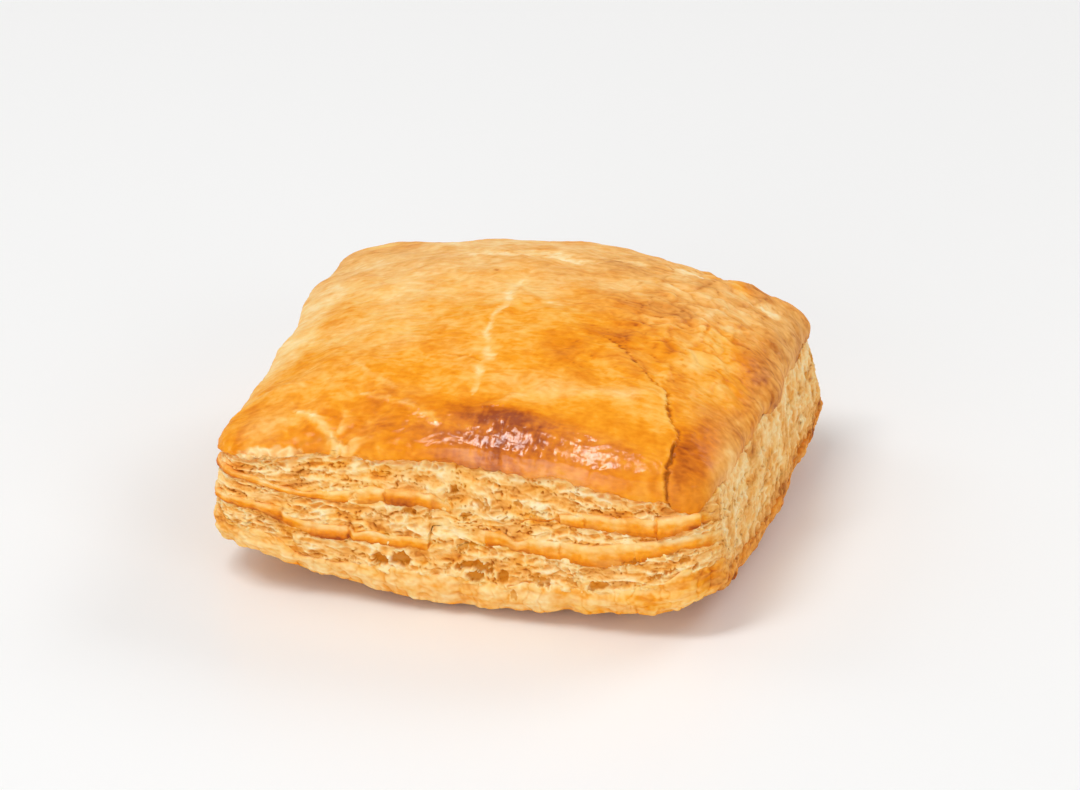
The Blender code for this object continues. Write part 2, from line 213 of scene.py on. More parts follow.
# Pale or dark patches of the front side: place, share, half place, half share, change of bake
SIDE_PATCHES = (
    (0.056, 0.54, 0.006, 0.035, -0.24), (0.107, 0.52, 0.008, 0.05, -0.2), (0.076, 0.5, 0.005, 0.045, -0.2),
    (0.117, 0.53, 0.005, 0.04, -0.3), (0.123, 0.485, 0.011, 0.04, -0.3), (0.01, 0.33, 0.02, 0.1, 0.12),
    (0.035, 0.84, 0.03, 0.08, 0.07), (0.19, 0.5, 0.055, 0.35, -0.06), (0.255, 0.18, 0.016, 0.12, 0.18),
    (0.42, 0.26, 0.09, 0.16, 0.12), (0.13, 0.49, 0.011, 0.04, -0.14), (0.169, 0.74, 0.0044, 0.03, -0.34),
    (0.193, 0.565, 0.012, 0.022, -0.2), (0.129, 0.755, 0.006, 0.04, -0.14),
    (0.064, 0.85, 0.012, 0.03, -0.12), (0.11, 0.9, 0.012, 0.03, -0.12), (0.18, 0.9, 0.007, 0.03, -0.2),
    (0.2, 0.85, 0.009, 0.03, -0.14), (0.0, 0.67, 0.009, 0.08, -0.26), (0.048, 0.96, 0.009, 0.035, -0.18),
    (0.086, 0.275, 0.0024, 0.03, -0.2), (0.076, 0.28, 0.006, 0.03, -0.16),
    (0.207, 0.2, 0.012, 0.06, -0.16), (0.157, 0.215, 0.004, 0.03, -0.26), (0.245, 0.6, 0.008, 0.08, -0.12),
    (0.056, 0.12, 0.004, 0.1, -0.06), (0.1235, 0.765, 0.0026, 0.036, 0.26),
    (0.01, 0.86, 0.007, 0.06, 0.26), (0.014, 0.54, 0.01, 0.03, 0.1), (0.209, 0.765, 0.01, 0.024, 0.18),
    (0.168, 0.63, 0.009, 0.022, 0.2), (0.148, 0.55, 0.006, 0.024, 0.12),
    (0.173, 0.475, 0.007, 0.035, 0.08), (0.055, 0.78, 0.022, 0.03, 0.1), (0.238, 0.26, 0.014, 0.06, 0.22),
    (0.22, 0.17, 0.01, 0.03, 0.18), (0.252, 0.27, 0.008, 0.06, 0.12), (0.115, 0.15, 0.005, 0.035, 0.1),
    (0.0, 0.23, 0.016, 0.06, 0.24), (0.032, 0.18, 0.014, 0.03, 0.12), (0.243, 0.72, 0.006, 0.03, 0.16),
    (0.288, 0.07, 0.006, 0.06, 0.4), (0.455, 0.15, 0.006, 0.06, 0.34), (0.33, 0.65, 0.018, 0.06, 0.16),
    (0.39, 0.56, 0.02, 0.08, 0.18),
)

# The pale seam of the top, in millimetres: X, Y and half width
SEAM = (
    (-3.0, 13.0, 0.5), (-4.0, 8.0, 1.0), (-4.2, 3.0, 1.2), (-2.8, -2.0, 1.0), (-3.8, -7.5, 0.7),
    (-3.2, -13.0, 0.8), (-1.6, -18.0, 0.8), (-0.8, -21.0, 1.2), (-0.7, -26.0, 1.1), (-0.5, -30.5, 0.4),
)
# The crack at the front right of the top, in millimetres: X, Y and gap
CRACK = (
    (16.5, -9.8, 0.05), (18.5, -10.6, 0.1), (21.5, -12.4, 0.14), (24.0, -15.0, 0.14), (27.0, -18.0, 0.16),
    (29.5, -19.7, 0.22), (31.2, -21.2, 0.5), (32.0, -24.0, 0.6), (33.0, -26.6, 0.65), (34.0, -28.4, 0.5),
    (35.6, -30.2, 0.35), (36.0, -32.2, 0.4), (35.3, -34.0, 0.45), (36.0, -35.6, 0.55), (35.7, -37.6, 0.6),
    (36.4, -41.0, 0.7),
)
# The torn flap at the front left of the top, in millimetres: X, Y and half width
FLAP = (
    (-30.4, -35.2, 0.5), (-28.1, -35.8, 0.7), (-26.1, -37.1, 0.9), (-24.1, -38.6, 0.9), (-22.4, -40.1, 0.8),
    (-21.4, -41.4, 0.6),
)
# A thin line under the flap, darkened as painted shade, a pale crease like an arch, a pale streak along a
# glossy ridge that is partly a painted highlight, a fainter torn pale streak above it and a fine fold,
# in millimetres: X, Y and half width
SHADE_UNDER_FLAP = ((-28.0, -40.6, 0.3), (-25.0, -39.8, 0.4), (-22.5, -39.9, 0.4), (-19.5, -41.2, 0.3))
ARCH = (
    (1.0, -33.2, 0.7), (5.0, -32.2, 0.9), (6.6, -30.0, 1.0), (9.0, -28.2, 1.3), (15.0, -27.0, 1.5),
    (20.0, -26.4, 1.4), (25.0, -25.0, 1.6), (29.0, -22.5, 1.2),
)
GLINT_STREAK = (
    (-19.9, -31.8, 0.3), (-17.0, -32.5, 0.5), (-14.0, -33.5, 0.5), (-11.0, -34.1, 0.8), (-8.4, -35.2, 1.1),
    (-6.1, -36.4, 1.0), (-4.9, -37.8, 0.7),
)
UPPER_STREAK = ((-24.0, -24.0, 0.4), (-20.5, -27.2, 0.5), (-17.0, -28.8, 0.6), (-14.0, -30.6, 0.3))
UPPER_CREASE = ((-44.6, -8.4, 0.6), (-43.0, -8.2, 0.8), (-37.6, -11.3, 1.0), (-31.9, -14.6, 0.8))
LOWER_CREASE = ((-43.9, -32.0, 0.7), (-41.6, -30.1, 0.9), (-36.8, -28.1, 1.1), (-32.6, -28.0, 0.9))
FOLD_LINE = ((-8.5, -20.4, 0.25), (-5.5, -21.0, 0.35), (-3.2, -22.0, 0.4), (-1.8, -22.6, 0.25))
RUFFLE = ((35.5, 3.0, 0.8), (36.5, 8.5, 0.8), (39.0, 11.2, 0.9), (42.0, 11.8, 0.9), (44.0, 9.0, 0.6))
BOUNDARY = ((31.0, 14.0, 0.6), (30.5, 6.0, 0.8), (31.5, -1.0, 0.9), (30.0, -7.5, 0.6))

# Colour of the top, in millimetres: X, Y, half sizes, change of bake and of glaze
TOP_PATCHES = (
    (2.0, -34.6, 12.0, 3.0, 0.26, 0.15), (12.0, -35.2, 10.0, 2.8, 0.2, 0.15),
    (5.0, -39.4, 14.0, 4.8, 0.24, 0.2), (19.0, -38.8, 13.0, 3.4, 0.14, 0.2),
    (-8.0, -40.0, 11.0, 3.2, 0.12, 0.15), (0.0, -31.0, 7.0, 3.6, 0.08, 0.15),
    (-19.0, -36.0, 17.0, 5.5, 0.05, 0.2), (-8.0, -26.5, 6.0, 5.0, 0.06, 0.15),
    (22.0, -31.0, 15.0, 4.5, 0.03, 0.45), (31.0, -27.0, 5.0, 6.0, -0.04, 0.3),
    (27.0, -38.5, 9.0, 3.2, 0.02, 0.2), (39.0, -32.0, 5.0, 10.0, 0.29, 0.08),
    (-40.0, 37.5, 3.4, 2.2, -0.18, 0.8), (44.0, -32.0, 2.5, 9.0, -0.08, -0.35),
    (40.0, -20.0, 4.0, 8.0, 0.12, -0.1), (2.0, -12.0, 24.0, 12.0, 0.02, 0.12),
    (-33.0, 4.0, 7.0, 12.0, 0.05, 0.16), (-33.0, 14.0, 8.0, 6.0, 0.05, 0.12),
    (24.0, 6.0, 8.5, 8.5, 0.13, -0.28), (19.0, -8.0, 8.0, 3.2, 0.16, -0.05),
    (12.0, -15.0, 8.0, 4.5, 0.11, 0.1), (14.0, -21.0, 14.0, 3.5, 0.05, 0.05),
    (41.5, -1.0, 3.5, 13.0, 0.14, 0.1), (42.0, 11.0, 3.0, 3.5, 0.14, -0.05),
    (34.5, -3.0, 3.5, 14.0, -0.05, 0.1), (-35.0, -37.5, 6.0, 3.2, -0.1, -0.25),
    (-28.5, -38.0, 2.6, 2.0, 0.04, 0.2), (-5.0, 26.0, 3.0, 7.0, 0.08, 0.2),
    (-18.0, 34.0, 14.0, 10.0, -0.1, -0.25), (8.0, 34.0, 22.0, 9.0, -0.08, -0.25),
    (32.0, 27.5, 3.0, 2.2, -0.24, 0.9), (-42.0, 38.5, 4.0, 2.6, -0.2, 0.9),
    (-41.0, -8.0, 5.0, 22.0, -0.14, -0.25), (-22.0, -12.0, 12.0, 7.0, -0.05, -0.05),
    (-4.5, -1.0, 4.0, 14.0, -0.06, -0.05),
)

# Pale, flaky patches of the top, in millimetres: X, Y and half sizes
FLAKY_PATCHES = (
    (-5.0, 24.0, 8.0, 2.8), (-13.0, 22.0, 5.0, 2.4), (4.0, 22.5, 4.0, 2.0), (12.0, 26.0, 4.0, 2.2),
    (22.0, 30.0, 4.0, 2.4), (38.0, 26.0, 3.0, 2.8),
)


def cycles(place, parts):
    """A smooth wave round the outline: parts are (size, whole cycles in one turn, shift)."""
    return sum(size * np.cos(2 * math.pi * (count * place + shift)) for size, count, shift in parts)


def eased(value, low, high):
    """Rises smoothly from 0 at low to 1 at high."""
    share = np.clip((value - low) / (high - low), 0.0, 1.0)
    return share * share * (3 - 2 * share)


def bump(offset):
    """A smooth bump of height 1 at offset 0 that has died away at offset 1 and -1."""
    return 1 - eased(np.abs(offset), 0.0, 1.0)


def eased_between(value, rise, fall):
    """Rises from 0 to 1 between the two values of rise, and falls back between those of fall."""
    return eased(value, *rise) * (1 - eased(value, *fall))


def blend(first, second, share):
    """The first value where the share is 0, running over to the second where it is 1."""
    return first * (1 - share) + second * share


def oval(x, y, middle_x, middle_y, half_x, half_y):
    """Distance from the middle of an oval, 1 at its edge."""
    return np.hypot((x - middle_x) / half_x, (y - middle_y) / half_y)


def from_front(place):
    """Place round the outline, -0.5 to 0.5, counted from the front left corner."""
    return (place + 0.5) % 1.0 - 0.5


def round_trip(place, at_corners, at_sides):
    """A value that runs smoothly through its corner and mid-side values round the outline."""
    stops = [value for pair in zip(at_corners, at_sides) for value in pair]
    position = (place % 1.0) * len(stops)
    low = np.floor(position).astype(int) % len(stops)
    share = position - np.floor(position)
    share = share * share * (3 - 2 * share)
    values = np.array(stops)
    return blend(values[low], values[(low + 1) % len(stops)], share)


def stretches(place, parts):
    """Smooth bumps round the outline: parts are (middle place, half width, length)."""
    return sum(length * bump(from_front(place - middle) / half) for middle, half, length in parts)


def outline(place):
    """Points and outward directions of the rounded square at places 0 to 1 round it."""
    side = np.floor(place * 4).astype(int) % 4
    along = (place * 4 - np.floor(place * 4)) * 2 - 1
    across_x = side % 2 == 0
    half_run = np.where(across_x, WIDTH / 2, DEPTH / 2)
    half_reach = np.where(across_x, DEPTH / 2, WIDTH / 2)
    straight = half_run - CORNER_RADIUS
    travel = np.abs(along) * (straight + CORNER_RADIUS * math.pi / 4)
    turn = np.clip((travel - straight) / CORNER_RADIUS, 0.0, math.pi / 4)
    run = np.sign(along) * (np.minimum(travel, straight) + CORNER_RADIUS * np.sin(turn))
    reach = half_reach - CORNER_RADIUS * (1 - np.cos(turn))
    run_lean = np.sign(along) * np.sin(turn)
    reach_lean = np.cos(turn)
    cos_side = np.array([1, 0, -1, 0])[side]
    sin_side = np.array([0, 1, 0, -1])[side]
    x = run * cos_side + reach * sin_side
    y = run * sin_side - reach * cos_side
    lean_x = run_lean * cos_side + reach_lean * sin_side
    lean_y = run_lean * sin_side - reach_lean * cos_side
    return x, y, lean_x, lean_y


def swell(place, height_share):
    """How far the whole side stands out of the outline at a share of its height."""
    at_rim = round_trip(place, RIM_OUT_AT_CORNERS, RIM_OUT_AT_SIDES)
    at_lip = round_trip(place, LIP_OUT_AT_CORNERS, LIP_OUT_AT_SIDES) + stretches(place, LIP_OUTS)
    belly = BELLY * np.sin(math.pi * np.clip(height_share, 0, 1)) ** BELLY_FULLNESS
    tuck = TUCKED_FOOT * (1 - eased(height_share, 0.0, FOOT_UNTIL))
    return at_rim * (1 - height_share) + at_lip * height_share + belly - tuck + cycles(place, SIDE_WAVES)


def side_point(place, height_share, out):
    """Position on the side, standing out of the smooth side by a length."""
    rim = round_trip(place, RIM_AT_CORNERS, RIM_AT_SIDES) + stretches(place, RIM_LIFTS)
    lip = round_trip(place, LIP_AT_CORNERS, LIP_AT_SIDES)
    x, y, lean_x, lean_y = outline(place)
    out = out + swell(place, height_share)
    return np.stack([x + out * lean_x, y + out * lean_y, rim + (lip - rim) * height_share], axis=1)


def lip_swell(place):
    """How far the crust's lip stands out of the smooth side."""
    return 0.0006 * (1 + cycles(place, ((0.4, 10, 1.02), (0.35, 15, 2.58), (0.25, 23, 0.3))))


def along_line(x, y, line):
    """Distance from a line of (x, y, value) points, the side (above 0 on its right), and the value there."""
    nearest = np.full(np.shape(x), np.inf)
    side = np.zeros(np.shape(x))
    value = np.zeros(np.shape(x))
    for (x0, y0, value0), (x1, y1, value1) in zip(line, line[1:]):
        run_x, run_y = x1 - x0, y1 - y0
        share = np.clip(((x - x0) * run_x + (y - y0) * run_y) / (run_x**2 + run_y**2), 0.0, 1.0)
        off_x, off_y = x - x0 - share * run_x, y - y0 - share * run_y
        distance = np.hypot(off_x, off_y)
        closer = distance < nearest
        nearest = np.where(closer, distance, nearest)
        side = np.where(closer, np.sign(off_y * run_x - off_x * run_y), side)
        value = np.where(closer, value0 + (value1 - value0) * share, value)
    return nearest, side, value


def crown(x, y):
    """Height of the domed top, away from its edges."""
    dome = CROWN_HEIGHT - BEND_ALONG_X * (x - CROWN_X) ** 2 - BEND_ALONG_Y * (y - CROWN_Y) ** 2
    for _, *form, height in SWELLINGS:
        dome += height * bump(oval(x, y, *form) / SWELLING_SPREAD)
    ripple = sum(np.cos(along_x * x + along_y * y + shift) for along_x, along_y, shift in RIPPLES)
    fine = sum(np.cos(along_x * x + along_y * y + shift) for along_x, along_y, shift in FINE_RIPPLES)
    return dome + RIPPLE * ripple + FINE_RIPPLE * fine


def top_point(place, ring):
    """Position on the top crust: ring is 1 at the lip and 0 at the middle."""
    x, y, z = side_point(place, np.ones_like(place), lip_swell(place)).T
    x, y = x * ring, y * ring
    raised = (1 - ring**SHOULDER_REACH) ** SHOULDER_FULLNESS
    return np.stack([x, y, z + (crown(x, y) - z) * raised], axis=1)


def underside_point(place, ring):
    """Position on the underside: flat in the middle, and lifted to the rim at the edge."""
    x, y, z = side_point(place, np.zeros_like(place), -0.0004).T
    flat_until = FLAT_SHARE - z * CURL_SPREAD
    lift = eased(ring, flat_until, CURL_END) / eased(1.0, flat_until, CURL_END)
    return np.stack([x * ring, y * ring, z * lift], axis=1)


# Uneven patterns
TABLE_SIZE = 1024
SEEDED = np.random.default_rng(11)
ORDER = SEEDED.permutation(TABLE_SIZE)
DIRECTIONS = SEEDED.normal(size=(TABLE_SIZE, 3))
DIRECTIONS /= np.linalg.norm(DIRECTIONS, axis=1, keepdims=True)


def grain(points, size, shift=0.0):
    """A smooth uneven pattern, about -1 to 1; its features have one size, or one along each axis."""
    at = points / np.asarray(size, float) + shift
    cell = np.floor(at).astype(np.int64)
    within = at - cell
    fade = within**3 * (within * (within * 6 - 15) + 10)
    total = np.zeros(len(points))
    for step in itertools.product((0, 1), repeat=3):
        a, b, c = ((cell[:, axis] + step[axis]) % TABLE_SIZE for axis in range(3))
        pick = ORDER[(ORDER[(ORDER[a] + b) % TABLE_SIZE] + c) % TABLE_SIZE]
        weight = np.ones(len(points))
        for axis in range(3):
            weight *= fade[:, axis] if step[axis] else 1 - fade[:, axis]
        total += weight * np.sum(DIRECTIONS[pick] * (within - np.array(step)), axis=1)
    return total * 1.7


def ridges(points, size, shift=0.0):
    """Sharp crests of height 1 that fall away to 0 between them."""
    return 1 - np.minimum(np.abs(grain(points, size, shift)) * 1.6, 1.0)


def cells(points, size, shift=0.0):
    """Uneven closed cells: distance to the nearest middle, and how much further the second one is."""
    at = points / np.asarray(size, float) + shift
    home = np.floor(at).astype(np.int64)
    first = np.full(len(points), 9.0)
    second = np.full(len(points), 9.0)
    for step in itertools.product((-1, 0, 1), repeat=3):
        a, b, c = ((home[:, axis] + step[axis]) % TABLE_SIZE for axis in range(3))
        pick = ORDER[(ORDER[(ORDER[a] + b) % TABLE_SIZE] + c) % TABLE_SIZE]
        middle = home + np.array(step) + 0.5 + 0.42 * DIRECTIONS[pick]
        distance = np.linalg.norm(at - middle, axis=1)
        second = np.minimum(second, np.maximum(first, distance))
        first = np.minimum(first, distance)
    return first, second - first


# Levels of the leaves
def ease_in_front(place):
    """1 along the front side and 0 away from it."""
    rise = (FRONT_START - FRONT_FADE, FRONT_START)
    fall = (FRONT_END, FRONT_END + FRONT_FADE)
    return eased_between(from_front(place), rise, fall)


def leaf_end(number, place):
    """Share of the side's height where a leaf ends; 0 is the rim, and the last end is the crust's edge."""
    if number == 0:
        return np.zeros_like(place)
    name, share = LEAF_TOPS[number - 1]
    slow = (0.022, 2 + number % 3, 0.13 * number)
    middling = (0.014, 5 + number % 2, 0.37 * number)
    quick = (0.009, 13 + number, 0.71 * number)
    usual = share + cycles(place, (slow, middling, quick))
    shown = np.interp(from_front(place), *np.array(FRONT_ENDS[name]).T)
    return blend(usual, shown, ease_in_front(place))


def fold_size(name, place):
    """How far a fold stands out, in millimetres, and its change of bake, with the steps of the front side."""
    near = from_front(place)
    steps = FOLD_STEPS[name]
    size = np.full(np.shape(place), steps[0][1])
    change = np.full(np.shape(place), steps[0][2])
    for (_, size_before, change_before), (start, size_after, change_after) in zip(steps, steps[1:]):
        past = eased(near, start - STEP_WIDTH / 2, start + STEP_WIDTH / 2)
        size += (size_after - size_before) * past
        change += (change_after - change_before) * past
    usual = 0.8 + cycles(place, ((0.25, 7, 0.2), (0.25, 13, 0.6)))
    usual_change = cycles(place, ((0.05, 31, 0.2), (0.05, 43, 0.6)))
    in_front = ease_in_front(place)
    return blend(usual, size, in_front), blend(usual_change, change, in_front)


# Meshes
def make_piece(name, mesh_data, points, shades, material):
    """A smooth piece of the object at these points, with its colour values, from a bmesh."""
    mesh = bpy.data.meshes.new(name)
    mesh_data.to_mesh(mesh)
    mesh_data.free()
    low, high = (np.array(corner) for corner in CAD_BOX)
    points = np.clip(points, low, high)
    mesh.vertices.foreach_set("co", points.astype(np.float32).ravel())
    mesh.update()
    mesh.shade_smooth()
    for label, values in shades.items():
        attribute = mesh.attributes.new(label, "FLOAT", "POINT")
        attribute.data.foreach_set("value", np.clip(values, 0, 1).astype(np.float32))
    mesh.materials.append(material)
    piece = bpy.data.objects.new(name, mesh)
    bpy.context.scene.collection.objects.link(piece)
    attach(piece, "root")
    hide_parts("puff_pastry")


def corners_of(mesh_data):
    return np.array([vert.co for vert in mesh_data.verts])


def normals_at(mesh_data, points):
    """Outward directions at the vertices of a bmesh once it is at these points."""
    mesh = bpy.data.meshes.new("measure")
    mesh_data.to_mesh(mesh)
    mesh.vertices.foreach_set("co", points.astype(np.float32).ravel())
    mesh.update()
    normals = np.zeros(len(points) * 3, np.float32)
    mesh.vertex_normals.foreach_get("vector", normals)
    bpy.data.meshes.remove(mesh)
    return normals.reshape(-1, 3)


def close_rim(sheet):
    """Closes the open rim of a sheet with a fan of faces; the middle of the fan is the last vertex."""
    rim = [edge for edge in sheet.edges if edge.is_boundary]
    closing = bmesh.ops.edgeloop_fill(sheet, edges=rim)["faces"]
    bmesh.ops.poke(sheet, faces=closing)


# From this share of the way out, a point of a square sheet lies on its edge
ON_EDGE = 1 - 1e-6


def square_place(a, b):
    """Share of the way out to the edge of a square, 2 across, and the place round the outline."""
    reach = np.maximum(np.abs(a), np.abs(b))
    safe = np.where(reach > 0, reach, 1.0)
    edge_a, edge_b = a / safe, b / safe
    on_front, on_right, on_back = edge_b <= -ON_EDGE, edge_a >= ON_EDGE, edge_b >= ON_EDGE
    front, right, back = (edge_a + 1) / 8, 0.25 + (edge_b + 1) / 8, 0.5 + (1 - edge_a) / 8
    left = 0.75 + (1 - edge_b) / 8
    return reach, np.select([on_front, on_right, on_back], [front, right, back], left)


# Height of the side in the patterns that run with the leaves, in millimetres
PATTERN_HEIGHT = 27.0


def bedding(height_share, points):
    """Points in millimetres whose third value follows the leaves, for patterns that run with them."""
    return np.stack([points[:, 0] / MM, points[:, 1] / MM, height_share * PATTERN_HEIGHT], axis=1)


SEGMENTS = 1800
# Turn from the drum's X axis to its front left corner, where the places begin
FRONT_LEFT_TURN = 0.375
# How much closer the columns of a leaf lie at the front right corner
CLOSER_COLUMNS = 0.055
LEAF_ROWS = {
    "bottom_crust": 44, "lower_crumb": 52, "lower_fold": 36,
    "middle_crumb": 52, "upper_fold": 34, "upper_crumb": 54,
}
TUCK = 0.004
OVERLAP = 0.018
TUCK_SHARE = 0.16
FOLD_OVERLAP = 0.008
# How far the bottom crust stands out, in millimetres
CRUST_OUT = 0.2


def leaf_grid(rows):
    """A closed drum, cut into rows; its corners give the turn and the row."""
    drum = bmesh.new()
    bmesh.ops.create_cone(drum, cap_ends=True, segments=SEGMENTS, radius1=1, radius2=1, depth=2)
    upright = [edge for edge in drum.edges if abs(edge.verts[0].co.z - edge.verts[1].co.z) > 1]
    bmesh.ops.subdivide_edges(drum, edges=upright, cuts=rows - 1, use_grid_fill=True)
    return drum


def on_right_side(place):
    """1 along the right side, where the leaves hang in upright strands, and 0 elsewhere."""
    return eased_between(from_front(place), STRANDS_BEGIN, STRANDS_END)


def fold_share(name, place, grid_points):
    """How much of a fold shows as a smooth fold, 0 to 1; elsewhere it opens into crumb."""
    if not name.endswith("fold"):
        return np.zeros_like(place)
    patches = eased(grain(grid_points, (9.0, 9.0, 40.0), 20.0), -0.45, -0.1)
    near = from_front(place)
    opened = sum(bump((near - middle) / (half * 1.6)) for middle, half in OPEN_FOLDS[name])
    shown = 1 - np.clip(opened * 1.5, 0, 1)
    return blend(patches, shown, ease_in_front(place)) * (1 - on_right_side(place))


def crumb_relief(grid_points, bent):
    """Open, leafy crumb: relief in millimetres, change of bake, and painted shade in its hollows."""
    lamella = ridges(bent, (8.0, 8.0, 2.2), 2.2) ** 2
    thin = ridges(bent, (4.5, 4.5, 1.0), 9.2) ** 2
    lumps = grain(bent, (2.4, 2.4, 1.3), 4.4)
    crumbs = grain(bent, (0.75, 0.75, 0.65), 24.4)
    streaks = grain(bent, (5.0, 5.0, 0.7), 18.0)
    cracked = eased(grain(grid_points, (5.0, 5.0, 3.0), 74.0), -0.1, 0.2)
    cracks = ridges(bent, (6.0, 6.0, 1.5), 64.0) ** 12 * cracked
    nearest, border = cells(bent, (1.9, 1.9, 1.1), 3.0)
    membrane = 1 - eased(border, 0.02, 0.32)
    bubbly = eased(grain(grid_points, (5.0, 5.0, 2.2), 12.0), -0.05, 0.3)
    fine_pores = grain(bent, (0.62, 0.62, 0.42), 7.9)
    pore_rows = eased(ridges(bent, (7.0, 7.0, 2.4), 40.0), 0.45, 0.8)
    pore_patches = eased(grain(grid_points, (7.0, 7.0, 2.5), 31.0), -0.15, 0.2)
    pore = eased(fine_pores, 0.28, 0.46) * np.clip(0.22 + pore_rows * pore_patches, 0, 1)
    bubbles = bubbly * (0.22 * membrane - 0.3 * (1 - eased(nearest, 0.1, 0.55)))
    relief = 0.36 * lamella + 0.14 * thin + 0.16 * lumps + 0.06 * crumbs + 0.06 * streaks + bubbles
    relief = relief - 0.28 - 0.45 * pore - 0.3 * cracks
    # Raised lamellae and membranes are paler, pores and cracks darker: partly the crumb's own colour, partly
    # painted light on the crests and painted shade in the recesses
    pale = 0.7 * lamella + 0.4 * thin + 0.5 * bubbly * membrane
    bake = 0.29 - 0.42 * pale - 0.14 * lumps - 0.08 * crumbs + 0.06 * streaks + 0.34 * pore + 0.26 * cracks
    hollow_shade = np.maximum(0.3 * pore, 0.35 * bubbly * (1 - membrane) * (1 - eased(nearest, 0.15, 0.5)))
    hollow_shade = np.maximum(hollow_shade, 0.3 * cracks)
    return relief, bake, hollow_shade


def strand_relief(grid_points, bent):
    """Upright, soft strands of the right side: relief in millimetres, change of bake, and painted shade in
    its holes.
    """
    strand = ridges(bent, (2.0, 2.0, 8.0), 15.0) ** 2
    wisps = ridges(bent, (0.75, 0.75, 4.0), 16.0) ** 2
    lumps = grain(bent, (1.6, 1.6, 2.4), 4.4)
    crumbs = grain(bent, (0.75, 0.75, 0.8), 24.4)
    pleats = grain(grid_points, (4.5, 4.5, 14.0), 27.0)
    blotches = grain(grid_points, (5.5, 5.5, 5.0), 37.0)
    holes = eased(grain(bent, (1.0, 1.0, 1.2), 33.0), 0.42, 0.58) * eased(blotches, -0.3, 0.2)
    relief = 0.26 * strand + 0.08 * wisps + 0.2 * lumps + 0.08 * crumbs + 0.42 * pleats - 0.38 - 0.5 * holes
    bake = 0.18 - 0.2 * strand - 0.07 * wisps - 0.12 * lumps - 0.06 * crumbs
    bake = bake + 0.1 * pleats + 0.16 * blotches
    return relief, bake, 0.6 * holes


def side_relief(name, place, height_share, grid_points):
    """Fine relief of a leaf, in millimetres, how baked and glazed it looks, and its painted shade in hollows.
    """
    near = from_front(place)
    warp = grain(grid_points, (2.6, 2.6, 1.6), 3.7)
    warp_along = grain(grid_points, (1.9, 1.9, 1.3), 8.1)
    jagged = grain(grid_points, 0.7, 5.0)
    ragged_share = height_share + 0.01 * warp + 0.014 * jagged
    ragged_place = near + 0.001 * warp_along + 0.0008 * jagged
    on_right = on_right_side(place)
    bent = grid_points + np.stack([warp, warp_along, 0.5 * warp], axis=1)
    smooth = grain(grid_points, (6.0, 6.0, 3.5), 1.3)
    fuzz = grain(grid_points, (0.42, 0.42, 0.38), 6.6)
    bake = 0.38 + 0.08 * smooth
    glaze = 0.36 + 0.45 * grain(bent, (4.0, 4.0, 1.6), 44.0)
    if name == "bottom_crust":
        pleats = grain(grid_points, (3.4, 3.4, 18.0), 2.6)
        lumps = grain(bent, (2.6, 2.6, 1.8), 52.0)
        creases = ridges(bent, (3.0, 3.0, 14.0), 6.2) ** 6
        leaves = grain(bent, (5.0, 5.0, 0.9), 36.0)
        scallops = pleats * (1 - eased(height_share, 0.02, 0.12))
        relief = 0.32 * pleats + 0.26 * lumps + 0.14 * leaves - 0.24 * creases + 0.12 * warp + 0.5 * scallops
        bake = bake - 0.02 - 0.1 * pleats - 0.1 * lumps + 0.16 * creases + 0.12 * leaves - 0.1 * jagged
        bake = bake + 0.14 * (1 - eased(height_share, 0.0, 0.04)) + 0.26 * on_right
        glaze = glaze + 0.12 + 0.25 * eased(near, 0.14, 0.2) * (1 - on_right)
        hollow_shade = 0.0 * place
    else:
        both = zip(crumb_relief(grid_points, bent), strand_relief(grid_points, bent))
        relief, more_bake, hollow_shade = (blend(leafy, hung, on_right) for leafy, hung in both)
        more_bake += on_right * 0.22 * (1 - eased(height_share, 0.18, 0.34))
        glaze -= 0.3 * on_right
        if name.endswith("fold"):
            folded = fold_share(name, place, grid_points)
            soft = grain(bent, (3.4, 3.4, 2.0), 5.1)
            upright = grain(grid_points, (1.5, 1.5, 9.0), 14.1)
            fold_relief = 0.26 * soft + 0.16 * upright + 0.07 * jagged
            fold_bake = 0.19 + 0.1 * soft + 0.08 * upright + 0.05 * jagged + fold_size(name, place)[1]
            relief = blend(relief, fold_relief, folded)
            more_bake = blend(more_bake, fold_bake, folded)
            hollow_shade = hollow_shade * (1 - folded)
            glaze = blend(glaze, 0.92 + 0.5 * soft, folded)
        bake += more_bake
    relief += 0.04 * fuzz
    torn_share = ragged_share + 0.012 * jagged
    # Hollows sink into the side, darker inside with painted shade, and paler round their rims
    for middle, share, half_place, half_share, slant, depth in HOLLOWS:
        level = share + slant * (ragged_place - middle)
        offset = oval(ragged_place, torn_share, middle, level, half_place, half_share)
        inside = 1 - eased(offset, 0.8, 1.05)
        relief = relief * (1 - 0.5 * inside) - 0.48 * depth * inside
        hollow_shade = np.maximum(hollow_shade * (1 - inside), inside * min(0.9, 0.3 + 0.35 * depth))
        bake = bake + 0.06 * inside - 0.14 * bump((offset - 1.18) / 0.3)
    # Grooves between the blocks, darkened as painted shade
    for line_place, low, high in SHADED_BLOCK_LINES:
        rise = (low - LINE_FADE, low + LINE_FADE)
        fall = (high - LINE_FADE, high + LINE_FADE)
        line = bump((ragged_place - line_place) / LINE_WIDTH) * eased_between(ragged_share, rise, fall)
        relief -= 0.16 * line
        bake += 0.2 * line
    for *form, change in SIDE_PATCHES:
        bake += change * bump(oval(ragged_place, ragged_share, *form) * 0.72)
    bake += 0.07 * grain(grid_points, (1.2, 1.2, 0.8), 10.5)
    # Painted shade wherever the relief sinks deep
    hollow_shade = np.maximum(hollow_shade, 0.5 * eased(-relief, 0.4, 0.9))
    return relief, bake, hollow_shade, glaze


